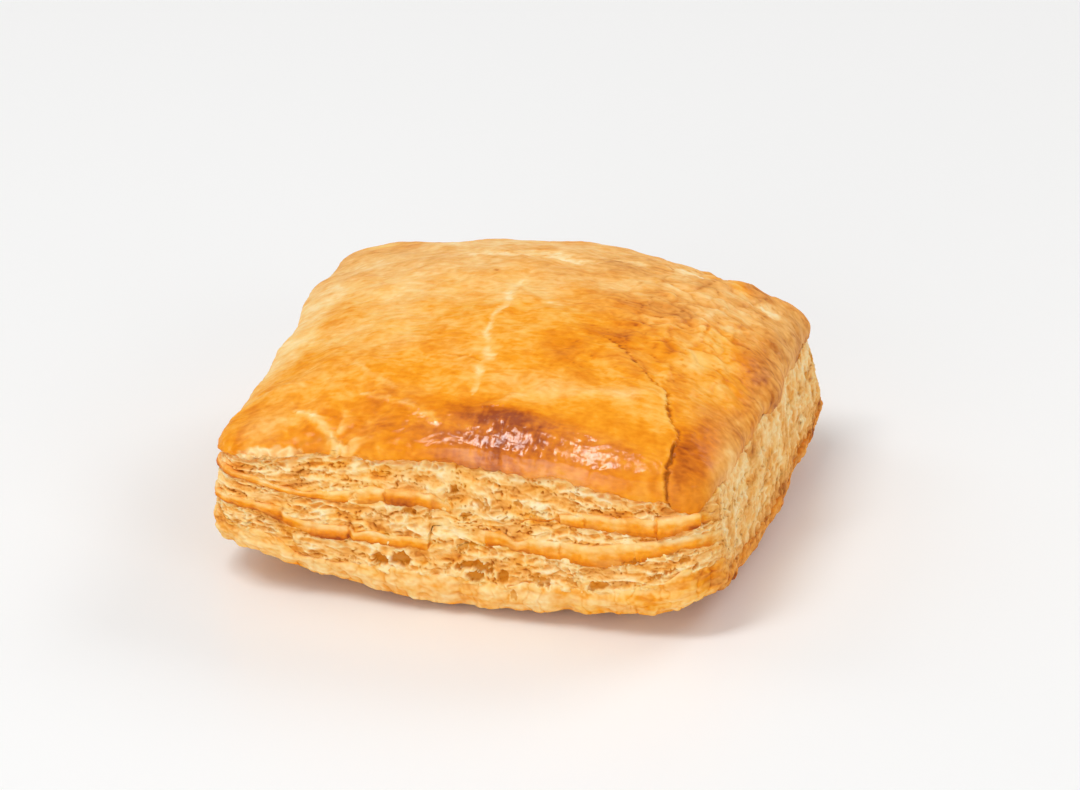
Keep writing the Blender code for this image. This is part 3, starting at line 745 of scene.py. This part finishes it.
def make_leaf(number, material):
    """One baked leaf that runs round the whole side, tucked in under and over its neighbours."""
    name = LEAF_TOPS[number][0]
    drum = leaf_grid(LEAF_ROWS[name])
    corner = corners_of(drum)
    turn = (np.arctan2(corner[:, 1], corner[:, 0]) / (2 * math.pi) + FRONT_LEFT_TURN) % 1.0
    place = turn - CLOSER_COLUMNS * np.sin(2 * math.pi * (turn - 0.25))
    row = (corner[:, 2] + 1) / 2
    face = np.clip((row - TUCK_SHARE) / (1 - 2 * TUCK_SHARE), 0, 1)
    tucked = np.maximum(1 - row / TUCK_SHARE, 0) + np.maximum((row - 1) / TUCK_SHARE + 1, 0)
    low = leaf_end(number, place) - (OVERLAP if number else 0.0)
    high = leaf_end(number + 1, place) + OVERLAP
    if name.endswith("fold"):
        low, high = low + OVERLAP - FOLD_OVERLAP, high - OVERLAP + FOLD_OVERLAP
    around = np.stack([np.cos(turn * 2 * math.pi), np.sin(turn * 2 * math.pi)], axis=1) * 50
    rough_points = np.column_stack([around, 9.0 * number + 0 * row])
    if number:
        uneven_edge = 0.01 * grain(rough_points, (2.2, 2.2, 1.0), 1.5)
        low += uneven_edge + 0.006 * grain(rough_points, (0.7, 0.7, 1.0), 2.5)
    high += 0.01 * grain(rough_points, (2.6, 2.6, 1.0), 7.5)
    height_share = low + (high - low) * face
    folded = fold_share(name, place, bedding(height_share, side_point(place, height_share, 0.0)))
    full = 6.0 - 2.0 * folded
    rounded = (1 - np.abs(2 * face - 1) ** full) ** (1 / full)
    stands_out = CRUST_OUT if name == "bottom_crust" else 0.0
    if name.endswith("fold"):
        stands_out = (fold_size(name, place)[0] - 0.45) * folded
    fall = 0.18 + folded * (0.12 + 0.4 * (1 - eased(face, 0.35, 0.7)))
    out = (stands_out - fall * (1 - rounded)) * MM - TUCK * tucked**1.2
    base = side_point(place, height_share, out)
    if number == 0:
        # Below the rim, the leaf runs on along the lifted underside
        ring = 1 - TUCK / (WIDTH / 2) * tucked
        below = underside_point(place, ring)
        base = np.where((row < TUCK_SHARE)[:, None], below, base)
    relief, bake, hollow_shade, glaze = side_relief(name, place, height_share, bedding(height_share, base))
    # A fold is darker along its foot, painted shade under its bulge, paler and less glazed along its top, and
    # its amber runs a little way into the crumb beside it
    bake += folded * (0.03 + 0.2 * eased(0.5 - face, 0.0, 0.4) - 0.22 * eased(face, 0.5, 0.9))
    glaze -= folded * 0.45 * eased(face, 0.5, 0.9)
    if name.endswith("crumb"):
        glaze += 0.4 * (1 - eased(np.minimum(face, 1 - face), 0.0, 0.16))
    # Painted shade where the leaf tucks in under and over its neighbours
    hollow_shade = np.maximum(hollow_shade, 0.6 * eased(tucked, 0.0, 0.5))
    shown = 1 - eased(tucked, 0.15, 0.75)
    if number == 0:
        shown = shown * (0.65 + 0.35 * eased(face, 0.0, 0.12))
    normals = normals_at(drum, base)
    points = base + normals * (relief * shown * MM)[:, None]
    shades = {"bake": bake, "hollow_shade": hollow_shade, "glaze": glaze, "shine": 0.15 * folded}
    make_piece(name, drum, to_centre(points), shades, material)


def to_centre(points):
    return points - np.array([OUTLINE_MIDDLE_X, OUTLINE_MIDDLE_Y, 0.0])


CRUST_STEPS_X = 318
CRUST_STEPS_Y = 308
TOP_UNTIL = 0.9
LIP_UNTIL = 0.96
CRUST_TUCK = 0.0035
# How much closer the crust's rings lie towards its edge
RING_SPACING = 1.3


def crust_relief(points, down, on_right):
    """Fine relief of the top crust, in millimetres, with its bake, painted shade in hollows, glaze and shine.
    """
    x, y = points[:, 0] / MM, points[:, 1] / MM
    flat = np.stack([x, y, 0.45 * points[:, 2] / MM], axis=1)
    warp_x = grain(flat, 4.0, 3.3)
    warp_y = grain(flat, 4.0, 9.7)
    bent = flat + 1.2 * np.stack([warp_x, warp_y, 0 * x], axis=1)
    broad = grain(flat, 13.0, 1.1)
    waves = grain(bent, (6.0, 4.2, 4.0), 4.9)
    bumps = grain(bent, (2.8, 2.0, 2.4), 21.0)
    wrinkles = ridges(bent, (4.2, 1.3, 3.0), 6.3) ** 2
    brushed = grain(bent, (3.0, 0.55, 1.5), 8.8)
    fine = grain(bent, (1.0, 0.7, 0.9), 18.8)
    jagged = grain(flat, 0.9, 23.0)
    bumpy_area = 1.4 * eased(x, 8, 24) * eased(y, -24, -8) * (1 - 0.5 * eased(x, 36, 40))
    bumpy_area += 0.5 * bump(oval(x, y, 18, -19, 16, 6))
    back_area = eased(y, -8, 26)
    front_slope = 1 - eased(y, -34, -28)
    smooth_lobe = bump(oval(x, y, 21, -31.5, 17, 6.5) * 0.8)
    calm = 1 - 0.7 * smooth_lobe - 0.5 * eased(x, 36, 40) * (1 - eased(y, -26, -18))
    pebbles = grain(bent, (3.6, 3.0, 3.0), 61.0)
    valleys = ridges(bent, (3.4, 3.0, 3.0), 71.0) ** 3
    relief = 0.24 * broad + (0.15 + 0.26 * bumpy_area) * waves * calm
    relief += (0.07 + 0.16 * bumpy_area) * bumps * calm
    relief = relief + (0.07 + 0.02 * bumpy_area) * wrinkles * calm + 0.03 * brushed + 0.03 * fine
    relief += bumpy_area * (0.2 * pebbles - 0.16 * valleys) * calm
    # Darker down the front slope, paler and less glazed towards the back and at the left: partly the crust's
    # own bake, partly painted light for the sheen and stronger light that the back and left catch
    pale_left = (1 - eased(x, -30, 5)) * eased(y, -26, -12)
    bake = 0.53 + 0.08 * front_slope - 0.08 * pale_left + 0.08 * eased(y, 8, 30)
    bake = bake + 0.1 * broad + (0.08 + 0.06 * bumpy_area) * waves * calm
    bake += (0.07 - 0.1 * bumpy_area) * bumps * calm
    bake -= 0.06 * (wrinkles - 0.3) * calm
    bake = bake + 0.04 * (1 - 0.5 * bumpy_area) * brushed * calm + 0.06 * fine
    bake -= bumpy_area * (0.07 * pebbles - 0.12 * valleys + 0.02) * calm
    glaze = 0.9 - 0.82 * back_area - 0.2 * pale_left + 0.45 * eased(y, 27, 37)
    glaze = glaze + 0.26 * grain(flat, (9.0, 7.0, 9.0), 7.2) + 0.1 * brushed * calm
    hollow_shade = 0.0 * x
    shine = 0.08 + 0.06 * front_slope
    for *form, more_bake, more_glaze in TOP_PATCHES:
        here = 1 - eased(oval(x, y, *form) + 0.14 * waves + 0.1 * bumps, 0.2, 1.2)
        bake += more_bake * here
        glaze += more_glaze * here
    # Wrinkles that run down the glossy blister
    run_down = np.stack([x + 0.8 * warp_x, 0.25 * y + 0.1 * points[:, 2] / MM, 0 * x], axis=1)
    drips = grain(run_down, (1.3, 1.2, 1.0), 2.4)
    fine_drips = grain(run_down, (0.55, 0.4, 1.0), 12.4)
    blister = bump(oval(x, y, 8.5, -38.0, 17.0, 6.0) * 0.75)
    relief += blister * (0.12 * drips + 0.09 * fine_drips)
    bake -= blister * (0.1 * drips + 0.12 * fine_drips)
    shine += 1.2 * (1 - eased(oval(x, y, 11.0, -38.6, 20.0, 4.6), 0.55, 1.25))
    # The pale seam, crumbly and faint in parts
    distance, _, half = along_line(x + 0.5 * warp_x + 0.3 * jagged, y + 0.3 * warp_y, SEAM)
    broken = np.clip(0.75 + 0.8 * grain(np.stack([0 * x, y, 0 * x], axis=1), (1.0, 2.2, 1.0), 5.2), 0.15, 1.0)
    seam = (1 - eased(distance / (half * (0.9 + 0.5 * waves + 0.5 * fine)), 0.25, 1.25)) * broken
    seam = seam * (1 - 0.45 * eased(y, 1, 7))
    relief = relief - 0.16 * seam + 0.12 * seam * jagged + 0.1 * bump((distance - 1.8) / 1.2)
    bake -= seam * (0.2 + 0.2 * fine)
    glaze -= 0.45 * seam
    # The crack, where the crust left of it rides over the rest
    crack_x = x + 0.42 * jagged + 0.4 * bumps
    distance, side, gap = along_line(crack_x, y + 0.35 * jagged, CRACK)
    signed = distance * side
    strength = eased(gap, 0.08, 0.5)
    rides = 0.5 * eased(-signed, -0.3, 0.3) - 0.25
    relief += (0.2 + 0.9 * strength) * rides * bump(distance / 7.0)
    crumbly = np.clip(0.75 + 0.9 * fine, 0.2, 1.0)
    opening = bump((signed - 0.08) / (0.46 * gap + 0.2)) * (distance < 2.0) * crumbly
    relief -= opening * (0.26 + 0.4 * strength)
    # Painted shade deep in the opening
    hollow_shade = np.maximum(hollow_shade, opening * (0.3 + 0.3 * strength))
    bake += 0.55 * opening * (distance < 1.5)
    bake = bake - 0.1 * bump(signed / 0.7 + 0.9) * strength + 0.06 * bump(signed / 1.6 - 0.9) * strength
    # The torn flap, with paler, crumpled skin left of it and a thin groove below, darkened as painted shade
    # under the flap
    distance, side, half = along_line(x + 0.4 * jagged, y + 0.3 * jagged, FLAP)
    flap = bump(distance / (half * (1.8 + 0.8 * fine)))
    beyond = (side > 0) * bump(distance / 10.0) * eased(-y, 33.5, 36.0)
    crumpled = eased(grain(bent, (2.6, 2.0, 2.0), 26.3), -0.1, 0.5)
    relief = relief + 0.45 * flap + beyond * (0.4 * crumpled - 0.35)
    bake = bake - 0.3 * flap + beyond * (0.04 - 0.26 * crumpled)
    glaze = glaze - 0.3 * flap - 0.45 * beyond * crumpled
    distance, _, half = along_line(x + 0.3 * jagged, y + 0.3 * jagged, SHADE_UNDER_FLAP)
    line = bump(distance / (half * 1.3))
    relief -= 0.25 * line
    hollow_shade = np.maximum(hollow_shade, 0.4 * line)
    # At the front left the crust ends a little above the lip, and crumb shows below it
    edge_y = -41.3 + 0.35 * jagged + 0.25 * bumps
    open_lip = (1 - eased(y, edge_y - 0.15, edge_y + 0.15)) * eased(x, -41.5, -39.5)
    open_lip *= 1 - eased(x, -23.5, -21.5)
    crumb = ridges(bent, (1.6, 1.6, 1.0), 81.0) ** 2
    relief += open_lip * (0.3 * crumb - 0.4)
    bake -= open_lip * (0.1 + 0.26 * crumb)
    glaze -= 0.8 * open_lip
    # Pale creases, streaks and ruffles, the glossy lower streak's paleness partly a painted highlight: line,
    # raised by, change of bake and of glaze, gloss
    for marks, raised, more_bake, more_glaze, gloss in (
        (ARCH, 0.22, -0.09, -0.3, 0.0), (GLINT_STREAK, 0.22, -0.2, -0.2, 1.0),
        (UPPER_CREASE, 0.2, -0.1, -0.2, 0.0), (LOWER_CREASE, 0.32, -0.1, -0.1, 0.0),
        (UPPER_STREAK, 0.1, -0.12, -0.25, 0.2), (FOLD_LINE, -0.16, 0.16, 0.0, 0.0),
        (RUFFLE, 0.35, -0.1, -0.1, 0.0), (BOUNDARY, 0.16, -0.12, -0.1, 0.0),
    ):
        distance, _, half = along_line(x + 0.5 * jagged, y + 0.35 * jagged + 0.4 * warp_y, marks)
        mark = bump(distance / (half * (1.6 + 0.8 * fine))) * np.clip(0.8 + 0.7 * bumps, 0, 1)
        relief += raised * mark
        bake += more_bake * mark
        glaze += more_glaze * mark
        shine += gloss * mark
    # Pale, flaky patches towards the back
    for form in FLAKY_PATCHES:
        flaky = 1 - eased(oval(x, y, *form) + 0.45 * bumps + 0.3 * jagged, 0.55, 0.95)
        relief += flaky * (0.14 * jagged - 0.08)
        bake -= flaky * (0.19 + 0.14 * jagged)
        glaze -= 0.2 * flaky
    # A dark speck and a pale one
    speck = bump(np.hypot(x + 9.6, y - 12.7) / 0.85)
    bake = bake + 0.42 * speck - 0.35 * bump(np.hypot(x - 4.2, y - 0.2) / 0.8)
    relief -= 0.2 * speck
    # Fine pits of the drier parts
    pits = eased(fine * 0.6 + jagged * 0.6, 0.36, 0.55) * (0.25 + 0.75 * bumpy_area) * (1 - front_slope)
    bake += 0.1 * pits
    relief -= 0.06 * pits
    # The lip is rougher where it was cut, and dry where it turns down the right side
    lumps = grain(flat * np.array([1, 1, 2.2]), (1.0, 1.0, 1.0), 13.0)
    relief += down * 0.1 * lumps
    bake += 0.04 * down
    over_right = on_right * eased(x, 40, 44)
    glaze -= 0.45 * over_right
    bake += over_right * (0.1 + 0.14 * grain(flat, (1.0, 1.0, 3.0), 51.0))
    return relief, bake, hollow_shade, glaze, shine


def make_crust(material):
    """The glazed top crust: the domed top, the lip at its edge and a tucked-in underface."""
    sheet = bmesh.new()
    bmesh.ops.create_grid(sheet, x_segments=CRUST_STEPS_X, y_segments=CRUST_STEPS_Y, size=1.0)
    close_rim(sheet)
    corner = corners_of(sheet)
    a, b = corner[:, 0], corner[:, 1]
    # The grid's steps lie closer at the front and right
    a, b = a + 0.08 * (1 - a**2), b - 0.16 * (1 - b**2)
    reach, place = square_place(a, b)
    on_top = np.clip(reach / TOP_UNTIL, 0, 1)
    ring = 1 - (1 - on_top) ** RING_SPACING
    down = np.clip((reach - TOP_UNTIL) / (LIP_UNTIL - TOP_UNTIL), 0, 1)
    inward = np.clip((reach - LIP_UNTIL) / (1 - LIP_UNTIL), 0, 1)
    top = top_point(place, ring)
    edge_points = np.stack([corner[:, 0] * 45, corner[:, 1] * 42, 0 * a], axis=1)
    ragged = 0.016 * grain(edge_points, (2.4, 2.4, 1.0), 4.0)
    ragged += 0.01 * grain(edge_points, (0.8, 0.8, 1.0), 1.0)
    edge_share = np.clip(leaf_end(len(LEAF_TOPS), place) + ragged, 0, 0.995)
    height_share = 1 - (1 - edge_share) * down
    thick = 1 - on_right_side(place)
    out = lip_swell(place) + (0.0004 * down - 0.0005 * down**6) * thick - CRUST_TUCK * inward
    out -= 0.0008 * down * (1 - thick)
    lip = side_point(place, height_share, out)
    base = np.where((reach > TOP_UNTIL)[:, None], lip, top)
    base[-1] = base[reach > ON_EDGE].mean(axis=0)
    relief, bake, hollow_shade, glaze, shine = crust_relief(base, down, on_right_side(place))
    shown = 1 - eased(inward, 0.0, 0.4)
    normals = normals_at(sheet, base)
    points = base + normals * (relief * shown * MM)[:, None]
    shades = {"bake": bake, "hollow_shade": hollow_shade, "glaze": glaze, "shine": shine}
    make_piece("top_crust", sheet, to_centre(points), shades, material)


UNDERSIDE_STEPS = 170
# Share of the sheet that is the face below, how far out it runs, and the height of its hidden wall
FACE_UNTIL = 0.95
FACE_REACH = 0.968
WALL_HEIGHT = 0.004


def make_underside(material):
    """The underside, flat in the middle, as a shallow closed slab inside the bottom crust."""
    slab = bmesh.new()
    bmesh.ops.create_grid(slab, x_segments=UNDERSIDE_STEPS, y_segments=UNDERSIDE_STEPS, size=1.0)
    bmesh.ops.reverse_faces(slab, faces=slab.faces)
    close_rim(slab)
    corner = corners_of(slab)
    a, b = corner[:, 0], corner[:, 1]
    reach, place = square_place(a, b)
    ring = np.minimum(reach / FACE_UNTIL, 1.0) * FACE_REACH
    base = underside_point(place, ring)
    base[:, 2] += WALL_HEIGHT * np.clip((reach - FACE_UNTIL) / 0.05, 0, 1)
    flat = base / MM
    pattern = grain(flat, 7.0, 2.0)
    blisters = grain(flat, 2.2, 5.0)
    dents = np.maximum(0.25 * blisters + 0.25 * pattern, 0) * MM
    base[:, 2] += dents * (1 - eased(reach, 0.85, FACE_UNTIL))
    base[-1] = base[reach > ON_EDGE].mean(axis=0)
    bake = 0.6 + 0.14 * pattern + 0.1 * blisters + 0.1 * bump((reach - 0.85) / 0.2)
    shades = {"bake": bake, "hollow_shade": 0 * bake, "glaze": 0.1 + 0 * bake, "shine": 0 * bake}
    make_piece("underside", slab, to_centre(base), shades, material)


# Materials
def linear(red, green, blue):
    """A colour given as it looks, 0 to 255, as the shader needs it."""
    parts = np.array([red, green, blue]) / 255
    parts = np.where(parts <= 0.04045, parts / 12.92, ((parts + 0.055) / 1.055) ** 2.4)
    return (*parts, 1.0)


# Looks from pale dough to dark crust: how baked it is, and its colour
DRY_COLOURS = (
    (0.0, (255, 238, 200)), (0.25, (253, 222, 165)), (0.42, (249, 201, 131)), (0.56, (241, 178, 98)),
    (0.72, (220, 150, 72)), (0.86, (190, 116, 50)), (1.0, (146, 78, 26)),
)
GLAZED_COLOURS = (
    (0.0, (254, 222, 150)), (0.25, (253, 204, 118)), (0.42, (251, 185, 82)), (0.56, (246, 158, 28)),
    (0.7, (233, 135, 6)), (0.84, (207, 108, 8)), (1.0, (160, 68, 2)),
)


# Colour of the painted shade in hollows, pores, cracks and tucked-in edges
HOLLOW_SHADE_COLOUR = (210, 130, 24)
SHADER_VALUES = {
    "Specular IOR Level": 0.08, "Coat Roughness": 0.09, "Coat IOR": 1.54,
    "Subsurface Weight": 0.12, "Subsurface Radius": (1.0, 0.45, 0.15), "Subsurface Scale": 0.0016,
}
SKIN_STRENGTH = 0.6
# Fine wrinkles that break up the gloss: strength, and height in metres
CRACKLE_STRENGTH = 0.35
CRACKLE_HEIGHT = 0.0002
# Sockets of a mix node that carry its two colours, and the one that carries their mix
FIRST_COLOUR = 6
SECOND_COLOUR = 7
MIXED_COLOUR = 2


def ramp(nodes, links, value, colours):
    node = nodes.new("ShaderNodeValToRGB")
    stops = node.color_ramp.elements
    while len(stops) < len(colours):
        stops.new(0.5)
    for stop, (position, colour) in zip(stops, colours):
        stop.position = position
        stop.color = linear(*colour)
    links.new(value, node.inputs["Fac"])
    return node.outputs["Color"]


def calculate(nodes, links, operation, first, second, clamped=False):
    node = nodes.new("ShaderNodeMath")
    node.operation = operation
    node.use_clamp = clamped
    for socket, value in zip(node.inputs, (first, second)):
        if isinstance(value, (int, float)):
            socket.default_value = value
        else:
            links.new(value, socket)
    return node.outputs["Value"]


def dough(name, bump_size, bump_scale, streaked):
    """Baked dough: colour from how baked it is, darker with painted shade in hollows, shinier where glazed.
    """
    material = bpy.data.materials.new(name)
    material.use_nodes = True
    nodes, links = material.node_tree.nodes, material.node_tree.links
    shader = nodes["Principled BSDF"]
    where = nodes.new("ShaderNodeTexCoord").outputs["Object"]

    def attribute(label):
        node = nodes.new("ShaderNodeAttribute")
        node.attribute_name = label
        return node.outputs["Fac"]

    def uneven(scale, detail, stretch=(1, 1, 1)):
        place = nodes.new("ShaderNodeMapping")
        place.inputs["Scale"].default_value = stretch
        links.new(where, place.inputs["Vector"])
        node = nodes.new("ShaderNodeTexNoise")
        node.inputs["Scale"].default_value = scale
        node.inputs["Detail"].default_value = detail
        links.new(place.outputs["Vector"], node.inputs["Vector"])
        return calculate(nodes, links, "SUBTRACT", node.outputs["Fac"], 0.5)

    def times(value, factor):
        return calculate(nodes, links, "MULTIPLY", value, factor)

    def plus(value, more, clamped=False):
        return calculate(nodes, links, "ADD", value, more, clamped)

    def mixed(factor, first):
        """A mix that starts from the first colour: the socket for its second colour, and its result."""
        node = nodes.new("ShaderNodeMix")
        node.data_type = "RGBA"
        links.new(factor, node.inputs["Factor"])
        links.new(first, node.inputs[FIRST_COLOUR])
        return node.inputs[SECOND_COLOUR], node.outputs[MIXED_COLOUR]

    def bumped(strength, height, pattern):
        node = nodes.new("ShaderNodeBump")
        node.inputs["Strength"].default_value = strength
        node.inputs["Distance"].default_value = height
        links.new(pattern, node.inputs["Height"])
        return node

    along_leaves = (0.45, 1.0, 1.0) if streaked else (0.5, 0.5, 1.4)
    mottled = plus(times(uneven(420, 4), 0.28), times(uneven(1300, 3, along_leaves), 0.24))
    bake = plus(attribute("bake"), mottled, clamped=True)
    glaze = plus(attribute("glaze"), times(uneven(260, 3), 0.5), clamped=True)
    glazed, colour = mixed(glaze, ramp(nodes, links, bake, DRY_COLOURS))
    links.new(ramp(nodes, links, bake, GLAZED_COLOURS), glazed)
    # Painted shade in the hollows
    deep, colour = mixed(attribute("hollow_shade"), colour)
    deep.default_value = linear(*HOLLOW_SHADE_COLOUR)
    links.new(colour, shader.inputs["Base Color"])
    rough = plus(times(glaze, -0.12), 0.7)
    links.new(plus(rough, times(uneven(900, 3), 0.25), clamped=True), shader.inputs["Roughness"])
    shine = times(attribute("shine"), plus(times(uneven(520, 3), 1.6), 1.0))
    links.new(shine, shader.inputs["Coat Weight"])
    for label, value in SHADER_VALUES.items():
        shader.inputs[label].default_value = value
    rough_skin = bumped(SKIN_STRENGTH, bump_size, plus(uneven(bump_scale, 5), 0.5))
    links.new(rough_skin.outputs["Normal"], shader.inputs["Normal"])
    crackle = bumped(CRACKLE_STRENGTH, CRACKLE_HEIGHT, uneven(1500, 3, (1.0, 0.5, 0.5)))
    links.new(rough_skin.outputs["Normal"], crackle.inputs["Normal"])
    links.new(crackle.outputs["Normal"], shader.inputs["Coat Normal"])
    return material


def pale_floor():
    material = bpy.data.materials.new("floor")
    material.use_nodes = True
    shader = material.node_tree.nodes["Principled BSDF"]
    shader.inputs["Base Color"].default_value = linear(248, 248, 248)
    shader.inputs["Roughness"].default_value = 0.35
    shader.inputs["Specular IOR Level"].default_value = 0.4
    return material


# Stage
FLOOR_SIZE = 4.0
FLOOR_GAP = 0.0001
LIGHT_COLOUR = (0.97, 0.99, 1.0)
ROOM_COLOUR = (1.0, 0.97, 0.945, 1.0)
ROOM_STRENGTH = 0.43
PASTRY = (0, 0, 0.02)
# Soft lights: name, place, width, height as a share of the width, power, and what they point at
LIGHTS = (
    ("softbox over the front", (-0.43, -0.45, 1.49), 0.34, 2.4, 10.0, PASTRY),
    ("key from the left", (-1.5, 0.3, 1.28), 0.8, 1.0, 3.5, PASTRY),
    ("front", (-0.3, -2.3, 0.46), 1.8, 1.0, 19.0, PASTRY),
    ("fill from the right", (2.0, -1.2, 0.9), 1.2, 1.0, 9.0, PASTRY),
    ("over the background", (1.3, 1.8, 1.5), 1.2, 1.0, 21.0, (1.1, 1.4, 0.0)),
)


def make_floor():
    plane = bmesh.new()
    bmesh.ops.create_grid(plane, x_segments=2, y_segments=2, size=FLOOR_SIZE)
    mesh = bpy.data.meshes.new("floor")
    plane.to_mesh(mesh)
    plane.free()
    mesh.transform(Matrix.Translation((0, 0, -FLOOR_GAP)))
    mesh.materials.append(pale_floor())
    floor = bpy.data.objects.new("floor", mesh)
    bpy.context.scene.collection.objects.link(floor)


def make_light(name, place, size, tall, power, aim):
    light = bpy.data.lights.new(name, "AREA")
    light.shape = "RECTANGLE"
    light.size = size
    light.size_y = size * tall
    light.energy = power
    light.color = LIGHT_COLOUR
    lamp = bpy.data.objects.new(name, light)
    lamp.location = place
    lamp.rotation_euler = (Vector(aim) - Vector(place)).to_track_quat("-Z", "Y").to_euler()
    bpy.context.scene.collection.objects.link(lamp)


def make_lights():
    world = bpy.data.worlds.new("studio")
    bpy.context.scene.world = world
    world.use_nodes = True
    background = world.node_tree.nodes["Background"]
    background.inputs["Color"].default_value = ROOM_COLOUR
    background.inputs["Strength"].default_value = ROOM_STRENGTH
    for light in LIGHTS:
        make_light(*light)


CAMERA_AZIMUTH = 17.21
CAMERA_ELEVATION = 25.99
CAMERA_ROLL = -0.78
CAMERA_DISTANCE = 0.6456
CAMERA_TARGET = (0.0, 0.0, 0.02)
CAMERA_LENS = 120.0
CAMERA_SHIFT = (0.01139, 0.00963)
SENSOR_WIDTH = 36.0
CLIP_START = 0.05


def make_camera():
    azimuth, elevation, roll = (math.radians(v) for v in (CAMERA_AZIMUTH, CAMERA_ELEVATION, CAMERA_ROLL))
    level = math.cos(elevation)
    back = Vector((math.sin(azimuth) * level, -math.cos(azimuth) * level, math.sin(elevation)))
    right = Vector((0, 0, 1)).cross(back).normalized()
    up = back.cross(right)
    rolled_right = right * math.cos(roll) + up * math.sin(roll)
    rolled_up = up * math.cos(roll) - right * math.sin(roll)
    data = bpy.data.cameras.new("camera")
    data.lens = CAMERA_LENS
    data.sensor_width = SENSOR_WIDTH
    data.shift_x, data.shift_y = CAMERA_SHIFT
    data.clip_start = CLIP_START
    camera = bpy.data.objects.new("camera", data)
    turn = Matrix((rolled_right, rolled_up, back)).transposed().to_4x4()
    camera.matrix_world = Matrix.Translation(Vector(CAMERA_TARGET) + back * CAMERA_DISTANCE) @ turn
    bpy.context.scene.collection.objects.link(camera)
    bpy.context.scene.camera = camera


crust_look = dough("glazed_crust", 0.0001, 1100, True)
crumb_look = dough("open_crumb", 0.00014, 1700, False)
fold_look = dough("smooth_fold", 0.00008, 1200, False)
make_crust(crust_look)
for leaf_number, (leaf_name, _) in enumerate(LEAF_TOPS):
    make_leaf(leaf_number, crumb_look if leaf_name.endswith("crumb") else fold_look)
make_underside(fold_look)
make_floor()
make_lights()
make_camera()
bpy.context.scene.view_settings.view_transform = "Standard"
